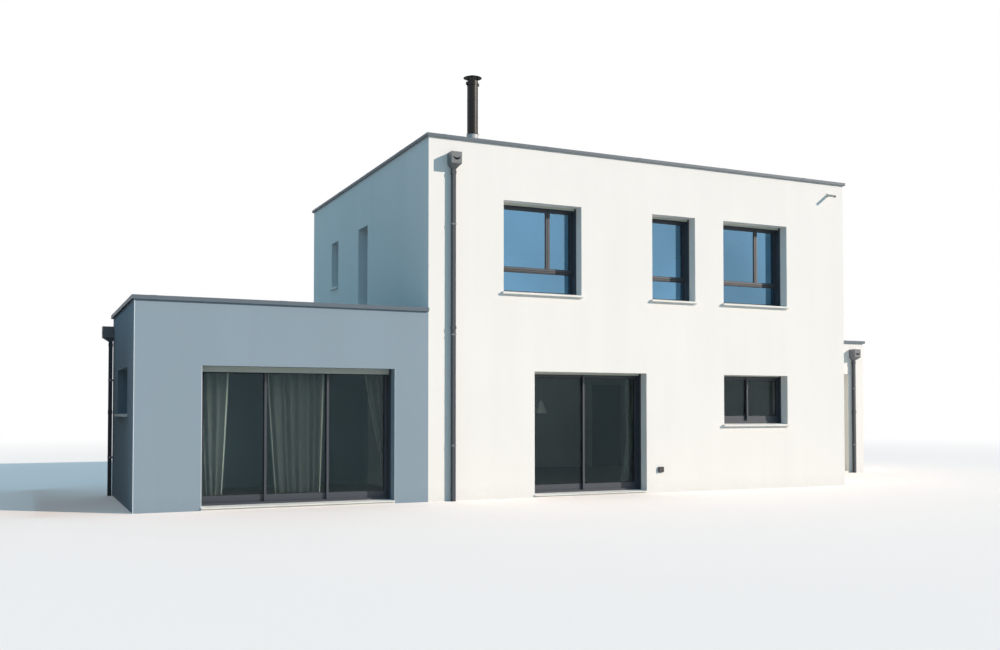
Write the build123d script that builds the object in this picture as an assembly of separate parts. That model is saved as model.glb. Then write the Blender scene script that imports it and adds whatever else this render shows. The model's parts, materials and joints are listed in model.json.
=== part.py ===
from build123d import *
import math
import os

# Detached house with a two-storey main block, a low wing on its left and a low
# garage on its right. X runs along the front, Y into the house, Z up, in
# millimetres. The origin is under the centre of the main block, at ground level.

# Main block, outside
main_width = 9400
main_depth = 7680
main_parapet_height = 6398

# Wing and garage, outside
wing_width = 4820
wing_depth = 3860
garage_width = 3800
garage_rear_projection = 1050
garage_setback = 3330
low_parapet_height = 3350

# Walls, floors and roofs
wall_thickness = 450
floor_level = 100
door_head_height = 2285
upper_floor_underside = 2550
upper_floor_level = 2850
main_roof_underside = 5500
main_roof_level = 5880
low_roof_underside = 2550
low_roof_level = 2900

# Folded copings on the parapets
coping_sheet = 5
main_coping_fascia = 55
low_coping_fascia = 65
coping_overhang = 40
coping_cover_width = 100
coping_cover_sheet = 2
coping_cover_start = 280
coping_cover_pitch = 2010

# Windows of the front, measured from the main block's left side
left_window_offset = 1440
middle_window_offset = 4600
right_window_offset = 6280
wide_window_width = 1600
narrow_window_width = 1000
upper_sill_height = 3720
upper_head_height = 5360
kitchen_sill_height = 1312

# Windows and door of the rear, measured from the same side
rear_wide_window_offset = 1440
rear_narrow_window_offset = 3800
entrance_offset = 7450

# Windows of the side walls, measured from the front
slit_window_offset = 3460
slit_window_width = 630
bath_window_offset = 5580
bath_window_width = 530
bath_sill_height = 4350
wing_window_offset = 1000
wing_window_width = 1780
wing_window_sill_height = 1525

# Doorways
main_door_offset = 2060
main_door_width = 2400
wing_door_offset = 1020
wing_door_width = 3190
entrance_width = 950
entrance_frame_face = 60
garage_door_offset = 500
garage_door_width = 2800
garage_door_height = 2500
garage_door_thickness = 45
garage_door_sections = 4
garage_door_seam = 8

# Reveals, sills and thresholds
reveal_depth = 200
threshold_drop = 45
threshold_projection = 30
threshold_nose = 25
threshold_fall = 6
sill_thickness = 50
sill_projection = 62
sill_side = 30
sill_fall = 15
drip_inset = 12
drip_size = 8

# Roller shutters, rolled up: side guides and the end bar that stays below the head
guide_face = 30
guide_depth = 60
guide_slot_width = 16
guide_slot_depth = 20
end_bar_height = 40
low_end_bar_height = 20
wing_end_bar_height = 90
end_bar_thickness = 12
end_bar_side_gap = 2

# Fixed window frames
frame_face = 30
frame_head_face = 52
frame_depth = 120
track_face = 55
sash_face = 43
sash_foot = 43
sash_setback = 50
sash_depth = 60
sash_gap = 4
bead_width = 12
bead_setback = 8
low_light_height = 415
low_light_face = 15
casement_share = 0.66
window_leaf_depth = 36
window_leaf_foot = 100
window_leaf_gap = 6
window_leaf_setback = 14
glass_thickness = 20

# Sliding doors: channels in the frame, and leaves that run in them
track_setback = 40
leaf_thickness = 30
leaf_clearance = 6
channel_lip = 4
channel_base = 14
channel_height = 20
rail_width = 6
rail_height = 8
stile_width = 60
meeting_stile_width = 42
leaf_foot_height = 118
leaf_head_height = 72
pull_width = 26
pull_length = 190
pull_recess = 5
pull_height = 1000
roller_radius = 12
roller_sides = 24
roller_width = 10
roller_inset = 150
roller_running_gap = 0.3
axle_radius = 4
axle_sides = 8
axle_cover = 8
groove_side_gap = 3
groove_height = 26

# Rainwater goods
pipe_width = 70
pipe_corner = 8
pipe_standoff = 57
hopper_width = 193
hopper_depth = 206
hopper_height = 200
hopper_taper = 76
hopper_sheet = 4
spill_radius = 70
spill_cover_radius = 84
spill_cover_rise = 50
spill_drop = 72
main_pipe_offset = 445
main_hopper_top = 6078
low_hopper_top = 3125
garage_pipe_inset = 370
wing_pipe_inset = 160
bracket_spacing = 1800
bracket_height = 30
bracket_thickness = 3
spout_radius = 28
spout_bore = 24
spout_inset = 417
spout_height = 6111
spout_projection = 235
spout_clearance = 0.3

# Flue above the main roof
flue_offset = 1395
flue_inset = 1300
flue_radius = 104
flue_bore = 92
flue_height = 1990
flue_cap_radius = 176
flue_cap_tip = 22
flue_cap_gap = 65
flue_cap_height = 55
flue_stays = 3
flue_stay_width = 20
flue_clamp_radius = 110
flue_clamp_height = 60
flue_clamp_drop = 20
flue_clamp_lug = 28
flue_collar_radius = 190
flue_collar_height = 120
flue_sleeve_radius = 113
flue_sleeve_height = 960

# Outdoor socket on the front wall
socket_offset = 4770
socket_height = 445
socket_width = 105
socket_depth = 40
socket_hood = 12

# Pendant lamp behind the main sliding door
lamp_offset = 3650
lamp_inset = 2840
lamp_radius = 130
lamp_neck_radius = 35
lamp_height = 260
lamp_low = 1520
lamp_wall = 4
lamp_sides = 24
lamp_stem_radius = 5
lamp_stem_sides = 8
lamp_rose_radius = 50
lamp_rose_height = 25

# Curtains inside the sliding doors, hung from ceiling rails
rail_inset = 125
curtain_rail_width = 30
curtain_rail_height = 20
curtain_thickness = 90
curtain_rail_reach = 450
curtain_floor_gap = 15
curtain_seat_gap = 0.3
curtain_tie_height = 780
curtain_waist_height = 1080

# The curtains' edges, the first two measured from the door's left side, the others from
# its right side
left_curtain_head = (-250, 520)
left_curtain_foot = (30, 400)
centre_curtain_head = (1140, 2120)
centre_curtain_foot = (1300, 2050)
right_curtain_head = (-390, 260)
right_curtain_tie = (-60, 230)
right_curtain_foot = (10, 200)
main_curtain_head = (-120, 400)
main_curtain_waist = (-60, 100)
main_curtain_foot = (-230, 100)

# Spans worked out from the sizes above, each (low, high)
main_x = (-main_width / 2, main_width / 2)
main_y = (-main_depth / 2, main_depth / 2)
main_inner_x = (main_x[0] + wall_thickness, main_x[1] - wall_thickness)
main_inner_y = (main_y[0] + wall_thickness, main_y[1] - wall_thickness)
wing_x = (main_x[0] - wing_width, main_x[0])
wing_y = (main_y[0], main_y[0] + wing_depth)
wing_inner_x = (wing_x[0] + wall_thickness, wing_x[1])
wing_inner_y = (wing_y[0] + wall_thickness, wing_y[1] - wall_thickness)
garage_x = (main_x[1], main_x[1] + garage_width)
garage_y = (main_y[0] + garage_setback, main_y[1] + garage_rear_projection)
garage_inner_x = (garage_x[0], garage_x[1] - wall_thickness)
garage_inner_y = (garage_y[0] + wall_thickness, garage_y[1] - wall_thickness)
return_x = (main_inner_x[1], main_x[1])
return_y = (main_y[1], garage_y[1])
garage_rear_x = (return_x[0], garage_x[1])

upper_window_z = (upper_sill_height, upper_head_height)
kitchen_window_z = (kitchen_sill_height, door_head_height)
bath_window_z = (bath_sill_height, upper_head_height)
wing_window_z = (wing_window_sill_height, door_head_height)
left_window_x = (main_x[0] + left_window_offset, main_x[0] + left_window_offset + wide_window_width)
middle_window_x = (
    main_x[0] + middle_window_offset,
    main_x[0] + middle_window_offset + narrow_window_width,
)
right_window_x = (
    main_x[0] + right_window_offset,
    main_x[0] + right_window_offset + wide_window_width,
)
rear_wide_window_x = (
    main_x[0] + rear_wide_window_offset,
    main_x[0] + rear_wide_window_offset + wide_window_width,
)
rear_narrow_window_x = (
    main_x[0] + rear_narrow_window_offset,
    main_x[0] + rear_narrow_window_offset + narrow_window_width,
)
entrance_x = (main_x[0] + entrance_offset, main_x[0] + entrance_offset + entrance_width)
main_door_x = (main_x[0] + main_door_offset, main_x[0] + main_door_offset + main_door_width)
wing_door_x = (wing_x[0] + wing_door_offset, wing_x[0] + wing_door_offset + wing_door_width)
garage_door_x = (
    garage_x[0] + garage_door_offset,
    garage_x[0] + garage_door_offset + garage_door_width,
)
slit_window_y = (main_y[0] + slit_window_offset, main_y[0] + slit_window_offset + slit_window_width)
bath_window_y = (main_y[0] + bath_window_offset, main_y[0] + bath_window_offset + bath_window_width)
wing_window_y = (wing_y[0] + wing_window_offset, wing_y[0] + wing_window_offset + wing_window_width)
threshold_top = floor_level - threshold_drop
track_pitch = leaf_thickness + 2 * leaf_clearance + channel_lip
sill_seat_depth = reveal_depth + guide_depth + frame_depth
frame_y = (guide_depth, guide_depth + frame_depth)
sash_y = (frame_y[0] + sash_setback, frame_y[0] + sash_setback + sash_depth)

parts = {}


def block(x, y, z):
    """A straight block between three spans."""
    box = Box(x[1] - x[0], y[1] - y[0], z[1] - z[0], align=(Align.MIN, Align.MIN, Align.MIN))
    return Pos(x[0], y[0], z[0]) * box


def keep(name, *solids):
    """Files one sub-part, made of one solid or of several that don't touch."""
    parts[name] = Compound(children=list(solids))


def turned(part, side):
    """A front piece, modelled outside face at Y = 0 and X from 0, set on one side of a block."""
    angles = {"front": 0, "right": 90, "rear": 180, "left": 270}
    return Rot(0, 0, angles[side]) * part


def on_front(part, x_span, face_y, z_low):
    """Sets a front piece on a face that looks forward."""
    return Pos(x_span[0], face_y, z_low) * part


def on_rear(part, x_span, face_y, z_low):
    """Sets a front piece on a face that looks back."""
    return Pos(x_span[1], face_y, z_low) * turned(part, "rear")


def on_left(part, y_span, face_x, z_low):
    """Sets a front piece on a face that looks left."""
    return Pos(face_x, y_span[1], z_low) * turned(part, "left")


def on_right(part, y_span, face_x, z_low):
    """Sets a front piece on a face that looks right."""
    return Pos(face_x, y_span[0], z_low) * turned(part, "right")


def length(span):
    return span[1] - span[0]


# Walls


def window_hole(width, height):
    """The hole for a window and, below it, the pocket that its sill is bedded in."""
    hole = block((0, width), (0, wall_thickness), (0, height))
    return hole + block((0, width), (0, sill_seat_depth), (-sill_thickness, 0))


def main_walls():
    """The main block's walls, the front one split beside and over its sliding door."""
    face = (main_y[0], main_inner_y[0])
    ground = (0, door_head_height)
    upper = (door_head_height, main_parapet_height)
    wide_hole = window_hole(wide_window_width, length(upper_window_z))
    narrow_hole = window_hole(narrow_window_width, length(upper_window_z))
    low_hole = window_hole(wide_window_width, length(kitchen_window_z))
    keep("main_front_wall_left", block((main_x[0], main_door_x[0]), face, ground))
    right = block((main_door_x[1], main_x[1]), face, ground)
    right -= on_front(low_hole, right_window_x, main_y[0], kitchen_sill_height)
    keep("main_front_wall_right", right)
    over = block(main_x, face, upper)
    over -= on_front(wide_hole, left_window_x, main_y[0], upper_sill_height)
    over -= on_front(narrow_hole, middle_window_x, main_y[0], upper_sill_height)
    over -= on_front(wide_hole, right_window_x, main_y[0], upper_sill_height)
    over -= spout_hole()
    keep("main_front_wall_upper", over)

    back = (main_inner_y[1], main_y[1])
    rear = block(main_x, back, (0, main_parapet_height))
    rear -= on_rear(wide_hole, rear_wide_window_x, main_y[1], upper_sill_height)
    rear -= on_rear(narrow_hole, rear_narrow_window_x, main_y[1], upper_sill_height)
    rear -= on_rear(low_hole, rear_wide_window_x, main_y[1], kitchen_sill_height)
    rear -= block(entrance_x, back, (0, door_head_height))
    keep("main_rear_wall", rear)

    slit_hole = window_hole(slit_window_width, length(upper_window_z))
    bath_hole = window_hole(bath_window_width, length(bath_window_z))
    left = block((main_x[0], main_inner_x[0]), main_inner_y, (0, main_parapet_height))
    left -= on_left(slit_hole, slit_window_y, main_x[0], upper_sill_height)
    left -= on_left(bath_hole, bath_window_y, main_x[0], bath_sill_height)
    keep("main_left_wall", left)
    side = block((main_inner_x[1], main_x[1]), main_inner_y, (0, main_parapet_height))
    side -= on_right(slit_hole, slit_window_y, main_x[1], upper_sill_height)
    keep("main_right_wall", side)


def wing_walls():
    """The wing's walls, flush with the main front and closed by the main block's left wall."""
    face = (wing_y[0], wing_inner_y[0])
    ground = (0, door_head_height)
    keep("wing_front_wall_left", block((wing_x[0], wing_door_x[0]), face, ground))
    keep("wing_front_wall_right", block((wing_door_x[1], wing_x[1]), face, ground))
    keep("wing_front_wall_over", block(wing_x, face, (door_head_height, low_parapet_height)))
    side = block((wing_x[0], wing_inner_x[0]), wing_inner_y, (0, low_parapet_height))
    hole = window_hole(wing_window_width, length(wing_window_z))
    side -= on_left(hole, wing_window_y, wing_x[0], wing_window_sill_height)
    keep("wing_left_wall", side)
    keep("wing_rear_wall", block(wing_x, (wing_inner_y[1], wing_y[1]), (0, low_parapet_height)))


def garage_walls():
    """The garage's walls, closed on the left by the main block and a short return behind it."""
    height = (0, low_parapet_height)
    face = (garage_y[0], garage_inner_y[0])
    front = block(garage_x, face, height)
    keep("garage_front_wall", front - block(garage_door_x, face, (0, garage_door_height)))
    keep("garage_right_wall", block((garage_inner_x[1], garage_x[1]), garage_inner_y, height))
    keep("garage_rear_wall", block(garage_rear_x, (garage_inner_y[1], garage_y[1]), height))
    keep("garage_return_wall", block(return_x, (return_y[0], garage_inner_y[1]), height))


# Floors and roofs


def slabs():
    """Ground slabs inside the walls, the upper floor and the flat roofs behind the parapets."""
    ground = (0, floor_level)
    keep(
        "ground_slabs",
        block(main_inner_x, main_inner_y, ground),
        block(wing_inner_x, wing_inner_y, ground),
        block(garage_inner_x, garage_inner_y, ground),
    )
    keep("upper_floor", block(main_inner_x, main_inner_y, (upper_floor_underside, upper_floor_level)))
    keep("main_roof", block(main_inner_x, main_inner_y, (main_roof_underside, main_roof_level)))
    low = (low_roof_underside, low_roof_level)
    keep(
        "low_roofs",
        block(wing_inner_x, wing_inner_y, low),
        block(garage_inner_x, garage_inner_y, low),
    )


# Copings


def coping_plan(run, start, end, grow):
    """The outline of a coping run from above, a little larger for what laps over it."""
    outer = -coping_overhang - grow
    inner = wall_thickness + coping_overhang + grow
    start_x = (outer, inner) if start == "mitre" else (0, 0)
    end_x = (run - outer, run - inner) if end == "mitre" else (run, run)
    corners = ((start_x[0], outer), (end_x[0], outer), (end_x[1], inner), (start_x[1], inner))
    return make_face(Polyline(*corners, close=True))


def coping_run(run, wall_top, fascia, start, end):
    """One straight run of folded sheet over a wall whose outer face is at Y = 0.

    Its lengths meet under joint covers. An end is a mitre at a corner, a butt against a higher
    wall, or a cap that closes the fold where it stands proud of the higher wall beside it.
    """
    low = wall_top + coping_sheet - fascia
    body = Pos(0, 0, low) * extrude(coping_plan(run, start, end, 0), fascia)
    cover_height = fascia + coping_cover_sheet
    lap = Pos(0, 0, low) * extrude(coping_plan(run, start, end, coping_cover_sheet), cover_height)
    across = (-2 * coping_overhang, wall_thickness + 2 * coping_overhang)
    place = coping_cover_start
    while place < run - coping_cover_width:
        cover_x = (place - coping_cover_width / 2, place + coping_cover_width / 2)
        body += lap & block(cover_x, across, (low, low + cover_height))
        place += coping_cover_pitch
    hollow_y = (coping_sheet - coping_overhang, wall_thickness + coping_overhang - coping_sheet)
    body -= block((-2 * coping_overhang, run + 2 * coping_overhang), hollow_y, (low, wall_top))
    if end == "cap":
        body += block((run - coping_sheet, run), (-coping_overhang, 0), (low, wall_top))
    return body


def copings():
    """Mitred runs round each parapet, ending against the main block on the low ones."""
    high = (main_parapet_height, main_coping_fascia)
    main_run = coping_run(main_width, *high, "mitre", "mitre")
    side_run = coping_run(main_depth, *high, "mitre", "mitre")
    keep(
        "main_copings_front_rear",
        on_front(main_run, main_x, main_y[0], 0),
        on_rear(main_run, main_x, main_y[1], 0),
    )
    keep(
        "main_copings_sides",
        on_left(side_run, main_y, main_x[0], 0),
        on_right(side_run, main_y, main_x[1], 0),
    )
    low = (low_parapet_height, low_coping_fascia)
    rear_width = length(garage_rear_x)
    keep(
        "low_copings_front_rear",
        on_front(coping_run(wing_width, *low, "mitre", "cap"), wing_x, wing_y[0], 0),
        on_rear(coping_run(wing_width, *low, "butt", "mitre"), wing_x, wing_y[1], 0),
        on_front(coping_run(garage_width, *low, "butt", "mitre"), garage_x, garage_y[0], 0),
        on_rear(coping_run(rear_width, *low, "mitre", "mitre"), garage_rear_x, garage_y[1], 0),
    )
    keep(
        "low_copings_sides",
        on_left(coping_run(wing_depth, *low, "mitre", "mitre"), wing_y, wing_x[0], 0),
        on_right(coping_run(length(garage_y), *low, "mitre", "mitre"), garage_y, garage_x[1], 0),
        on_left(coping_run(length(return_y), *low, "mitre", "butt"), return_y, return_x[0], 0),
    )


# Windows


def ring(width, height, face, y_span, foot=None):
    """A rectangular frame of one bar width, with a foot of its own where one is given."""
    foot = face if foot is None else foot
    outer = block((0, width), y_span, (0, height))
    return outer - block((face, width - face), y_span, (foot, height - face))


def sash(width, height, y_span, foot):
    """A sash round its light, with a glazing bead set back from the outer face."""
    body = ring(width, height, sash_face, y_span, foot)
    rebate = block(
        (sash_face - bead_width, width - sash_face + bead_width),
        (y_span[0], y_span[0] + bead_setback),
        (foot - bead_width, height - sash_face + bead_width),
    )
    return body - rebate


def sash_pane(width, height, y_span, foot):
    """The glass of one sash, in the middle of its depth."""
    middle = (y_span[0] + y_span[1]) / 2
    glass_y = (middle - glass_thickness / 2, middle + glass_thickness / 2)
    return block((sash_face, width - sash_face), glass_y, (foot, height - sash_face))


def sash_layout(width, height, kind):
    """Each sash's place, size, depth and foot in a window of one, two or two sliding sashes."""
    inner = (frame_face, width - frame_face)
    if kind == "sliding":
        leaf = (length(inner) + sash_face) / 2
        tall = height - frame_head_face - track_face
        outer_y = (frame_y[0] + window_leaf_setback, frame_y[0] + window_leaf_setback + window_leaf_depth)
        inner_low = outer_y[1] + window_leaf_gap
        inner_y = (inner_low, inner_low + window_leaf_depth)
        foot = window_leaf_foot
        return [
            (inner[0], track_face, leaf, tall, inner_y, foot),
            (inner[1] - leaf, track_face, leaf, tall, outer_y, foot),
        ]
    low = frame_face
    if kind in ("single_over_light", "double_over_light"):
        low = low_light_height + frame_face
    tall = height - frame_head_face - low
    if kind != "double_over_light":
        return [(inner[0], low, length(inner), tall, sash_y, sash_foot)]
    meeting = width * casement_share
    left = meeting - sash_gap / 2 - inner[0]
    right = inner[1] - meeting - sash_gap / 2
    return [
        (inner[0], low, left, tall, sash_y, sash_foot),
        (inner[1] - right, low, right, tall, sash_y, sash_foot),
    ]


def fixed_frame(width, height, kind):
    """An outer frame with its sashes, above a low fixed light where the window has one."""
    foot = track_face if kind == "sliding" else frame_face
    frame = ring(width, height, frame_face, frame_y, foot)
    frame += block((0, width), frame_y, (height - frame_head_face, height))
    if kind in ("single_over_light", "double_over_light"):
        inner = (frame_face, width - frame_face)
        frame += block(inner, sash_y, (low_light_height, low_light_height + frame_face))
        light = ring(length(inner), low_light_height - frame_face, low_light_face, sash_y)
        frame += Pos(frame_face, 0, frame_face) * light
    for x, z, wide, tall, y_span, foot in sash_layout(width, height, kind):
        frame += Pos(x, 0, z) * sash(wide, tall, y_span, foot)
    return frame


def fixed_panes(width, height, kind):
    """The sheets of glass that fill the same frame."""
    panes = []
    if kind in ("single_over_light", "double_over_light"):
        middle = (sash_y[0] + sash_y[1]) / 2
        edge = frame_face + low_light_face
        panes.append(
            block(
                (edge, width - edge),
                (middle - glass_thickness / 2, middle + glass_thickness / 2),
                (edge, low_light_height - low_light_face),
            )
        )
    for x, z, wide, tall, y_span, foot in sash_layout(width, height, kind):
        panes.append(Pos(x, 0, z) * sash_pane(wide, tall, y_span, foot))
    return panes


def window_sill(width):
    """A cast sill: flat under the frame, sloped in front of it, with a nose and a drip groove."""
    nose = -sill_projection
    bed = -sill_thickness
    slope = sill_fall / (reveal_depth + sill_projection)
    outside = Polyline(
        (nose, bed),
        (nose + drip_inset, bed),
        (nose + drip_inset, bed + drip_size),
        (nose + drip_inset + drip_size, bed + drip_size),
        (nose + drip_inset + drip_size, bed),
        (0, bed),
        (0, -slope * reveal_depth),
        (nose, -sill_fall),
        close=True,
    )
    inside = Polyline(
        (0, bed),
        (sill_seat_depth, bed),
        (sill_seat_depth, 0),
        (reveal_depth, 0),
        (0, -slope * reveal_depth),
        close=True,
    )
    along = (1, 0, 0)
    bedded = extrude(make_face(Plane.YZ * inside), width, dir=along)
    front = Pos(-sill_side, 0, 0) * extrude(make_face(Plane.YZ * outside), width + 2 * sill_side, dir=along)
    return bedded + front


def shutter_guides(width, height):
    """The pair of slotted guides that a roller shutter's slats run in."""
    slot_y = ((guide_depth - guide_slot_width) / 2, (guide_depth + guide_slot_width) / 2)
    left = block((0, guide_face), (0, guide_depth), (0, height))
    left -= block((guide_face - guide_slot_depth, guide_face), slot_y, (0, height))
    return [left, Pos(width, guide_depth, 0) * Rot(0, 0, 180) * left]


def end_bar(width, height, bar_height):
    """The shutter's end bar, which stays in its guides just below the head."""
    reach = guide_face - guide_slot_depth + end_bar_side_gap
    y = ((guide_depth - end_bar_thickness) / 2, (guide_depth + end_bar_thickness) / 2)
    return block((reach, width - reach), y, (height - bar_height, height))


def windows():
    """Frames, panes, sills and shutters of every fixed window, grouped as they are made."""
    front = (on_front, main_y[0], 1)
    rear = (on_rear, main_y[1], -1)
    left = (on_left, main_x[0], 1)
    right = (on_right, main_x[1], -1)
    wing_side = (on_left, wing_x[0], 1)
    upper = upper_window_z
    openings = (
        ("front", front, left_window_x, upper, "double_over_light", True),
        ("front", front, middle_window_x, upper, "single_over_light", True),
        ("front", front, right_window_x, upper, "double_over_light", True),
        ("front", front, right_window_x, kitchen_window_z, "sliding", True),
        ("rear", rear, rear_wide_window_x, upper, "double_over_light", True),
        ("rear", rear, rear_narrow_window_x, upper, "single_over_light", True),
        ("rear", rear, rear_wide_window_x, kitchen_window_z, "sliding", True),
        ("side", left, slit_window_y, upper, "single_over_light", False),
        ("side", left, bath_window_y, bath_window_z, "single", False),
        ("side", right, slit_window_y, upper, "single_over_light", False),
        ("side", wing_side, wing_window_y, wing_window_z, "sliding", True),
    )
    frames = {"front": [], "rear": [], "side": []}
    upper_glass = []
    ground_glass = []
    sills = []
    guides = []
    bars = []
    for group, (place, wall_face, inward), span, heights, kind, shutter in openings:
        width = length(span)
        height = length(heights)
        face = wall_face + inward * reveal_depth
        low = heights[0]
        frames[group].append(place(fixed_frame(width, height, kind), span, face, low))
        panes = [place(pane, span, face, low) for pane in fixed_panes(width, height, kind)]
        if heights[1] > door_head_height:
            upper_glass += panes
            bar_height = end_bar_height
        else:
            ground_glass += panes
            bar_height = low_end_bar_height
        sills.append(place(window_sill(width), span, wall_face, low))
        if shutter:
            guides += [place(guide, span, face, low) for guide in shutter_guides(width, height)]
            bars.append(place(end_bar(width, height, bar_height), span, face, low))
    keep("front_window_frames", *frames["front"])
    keep("rear_window_frames", *frames["rear"])
    keep("side_window_frames", *frames["side"])
    keep("window_glass", *upper_glass)
    keep("ground_window_glass", *ground_glass)
    keep("window_sills", *sills)
    return guides, bars


def shutters(guides, bars):
    """The shutters' guides and end bars, those of the sliding doors with those of the windows."""
    height = door_head_height - threshold_top
    face = main_y[0] + reveal_depth
    for span, bar_height in ((main_door_x, end_bar_height), (wing_door_x, wing_end_bar_height)):
        for guide in shutter_guides(length(span), height):
            guides.append(on_front(guide, span, face, threshold_top))
        bars.append(on_front(end_bar(length(span), height, bar_height), span, face, threshold_top))
    keep("shutter_guides", *guides)
    keep("shutter_end_bars", *bars)


# Sliding doors


def slider_frame(width, height, tracks):
    """A deep frame with one channel a track on all four sides, and a rail in each low channel."""
    depth = (guide_depth, guide_depth + track_setback + tracks * track_pitch + channel_lip)
    frame = ring(width, height, channel_base, depth)
    lips = ring(width - 2 * channel_base, height - 2 * channel_base, channel_height, depth)
    for track in range(tracks):
        middle = track_centre(track)
        half = (track_pitch - channel_lip) / 2
        lips -= block((0, width), (middle - half, middle + half), (0, height))
    frame += Pos(channel_base, 0, channel_base) * lips
    for track in range(tracks):
        middle = track_centre(track)
        rail_y = (middle - rail_width / 2, middle + rail_width / 2)
        rail_z = (channel_base, channel_base + rail_height)
        frame += block((channel_base, width - channel_base), rail_y, rail_z)
    return frame


def track_centre(track):
    """Distance of a track's middle from the reveal, 0 being the outermost track."""
    first = guide_depth + track_setback + channel_lip + leaf_clearance + leaf_thickness / 2
    return first + track * track_pitch


def leaf_width(width, leaves):
    """Leaves fill the channels' clear width, lapping by one meeting stile."""
    clear = width - 2 * channel_base - 2 * leaf_clearance
    return (clear + (leaves - 1) * meeting_stile_width) / leaves


def leaf_height(height):
    return height - channel_base - rail_height - leaf_clearance - channel_base - leaf_clearance


def leaf_light(width, height, stiles):
    """The opening for the glass of a leaf, between its two stiles."""
    return ((stiles[0], width - stiles[1]), (leaf_foot_height, height - leaf_head_height))


def wheel(radius, sides, width):
    """A roller or its axle, as a bar of many sides along Z."""
    return extrude(RegularPolygon(radius, sides), width / 2, both=True)


def leaf(width, height, stiles):
    """One sliding leaf: members round its glass, a grooved foot, two rollers and its pulls."""
    half = leaf_thickness / 2
    body = block((0, width), (-half, half), (0, height))
    light_x, light_z = leaf_light(width, height, stiles)
    body -= block(light_x, (-half, half), light_z)
    bead_x = (light_x[0] - bead_width, light_x[1] + bead_width)
    bead_z = (light_z[0] - bead_width, light_z[1] + bead_width)
    body -= block(bead_x, (-half, -glass_thickness / 2), bead_z)
    groove = roller_width / 2 + groove_side_gap
    body -= block((0, width), (-groove, groove), (0, groove_height))
    axle_height = roller_radius + roller_running_gap - leaf_clearance
    for x in (roller_inset, width - roller_inset):
        place = Pos(x, 0, axle_height) * Rot(90, 0, 0)
        body += place * wheel(roller_radius, roller_sides, roller_width)
        body += place * wheel(axle_radius, axle_sides, leaf_thickness - axle_cover)
    pull_z = (pull_height - pull_length / 2, pull_height + pull_length / 2)
    for stile, middle in ((stiles[0], stiles[0] / 2), (stiles[1], width - stiles[1] / 2)):
        if stile > meeting_stile_width:
            pull_x = (middle - pull_width / 2, middle + pull_width / 2)
            body -= block(pull_x, (-half, pull_recess - half), pull_z)
    return body


def leaf_glass(width, height, stiles):
    half = glass_thickness / 2
    light_x, light_z = leaf_light(width, height, stiles)
    return block(light_x, (-half, half), light_z)


def sliding_door(prefix, x_span, leaves):
    """A sliding door whose rightmost leaf runs on the outermost track."""
    width = length(x_span)
    height = door_head_height - threshold_top
    face = main_y[0] + reveal_depth
    frame = slider_frame(width, height, leaves)
    keep(prefix + "_door_frame", on_front(frame, x_span, face, threshold_top))
    names = {2: ("left", "right"), 3: ("left", "middle", "right")}[leaves]
    wide = leaf_width(width, leaves)
    tall = leaf_height(height)
    foot = threshold_top + channel_base + rail_height + leaf_clearance
    for index, name in enumerate(names):
        track = leaves - 1 - index
        stiles = (
            stile_width if index == 0 else meeting_stile_width,
            stile_width if index == leaves - 1 else meeting_stile_width,
        )
        x = x_span[0] + channel_base + leaf_clearance + index * (wide - meeting_stile_width)
        place = Pos(x, face + track_centre(track), foot)
        keep(prefix + "_door_" + name + "_leaf", place * leaf(wide, tall, stiles))
        keep(prefix + "_door_" + name + "_glass", place * leaf_glass(wide, tall, stiles))


def fixed_doors():
    """The entrance door in the rear wall and the sectional garage door."""
    width = length(entrance_x)
    height = door_head_height - threshold_top
    rear = main_y[1] - reveal_depth
    face = entrance_frame_face
    frame = ring(width, height, face, frame_y)
    panel = block((face, width - face), sash_y, (face, height - face))
    keep("entrance_door", on_rear(frame + panel, entrance_x, rear, threshold_top))
    panel_y = (garage_y[0] + reveal_depth, garage_y[0] + reveal_depth + garage_door_thickness)
    panel_z = (threshold_top, garage_door_height)
    door = block(garage_door_x, panel_y, panel_z)
    step = length(panel_z) / garage_door_sections
    half = garage_door_seam / 2
    for index in range(1, garage_door_sections):
        middle = threshold_top + index * step
        door -= block(garage_door_x, (panel_y[0], panel_y[0] + half), (middle - half, middle + half))
    keep("garage_door", door)


def threshold(width, nosed):
    """A cast threshold through the wall, sloped in the reveal, with a nose outside the house doors."""
    top = threshold_top
    nose_low = top - threshold_nose
    front = [(0, 0), (wall_thickness, 0), (wall_thickness, top), (reveal_depth, top)]
    if nosed:
        projection = -threshold_projection
        front += [(projection, top - threshold_fall), (projection, nose_low), (0, nose_low)]
    else:
        front += [(0, top - threshold_fall)]
    return extrude(make_face(Plane.YZ * Polyline(*front, close=True)), width, dir=(1, 0, 0))


def thresholds():
    """Thresholds under the sliding doors, the entrance door and the garage door."""
    keep(
        "door_thresholds",
        on_front(threshold(length(main_door_x), True), main_door_x, main_y[0], 0),
        on_front(threshold(length(wing_door_x), True), wing_door_x, main_y[0], 0),
        on_rear(threshold(length(entrance_x), True), entrance_x, main_y[1], 0),
        on_front(threshold(length(garage_door_x), False), garage_door_x, garage_y[0], 0),
    )


# Rainwater goods


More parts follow.
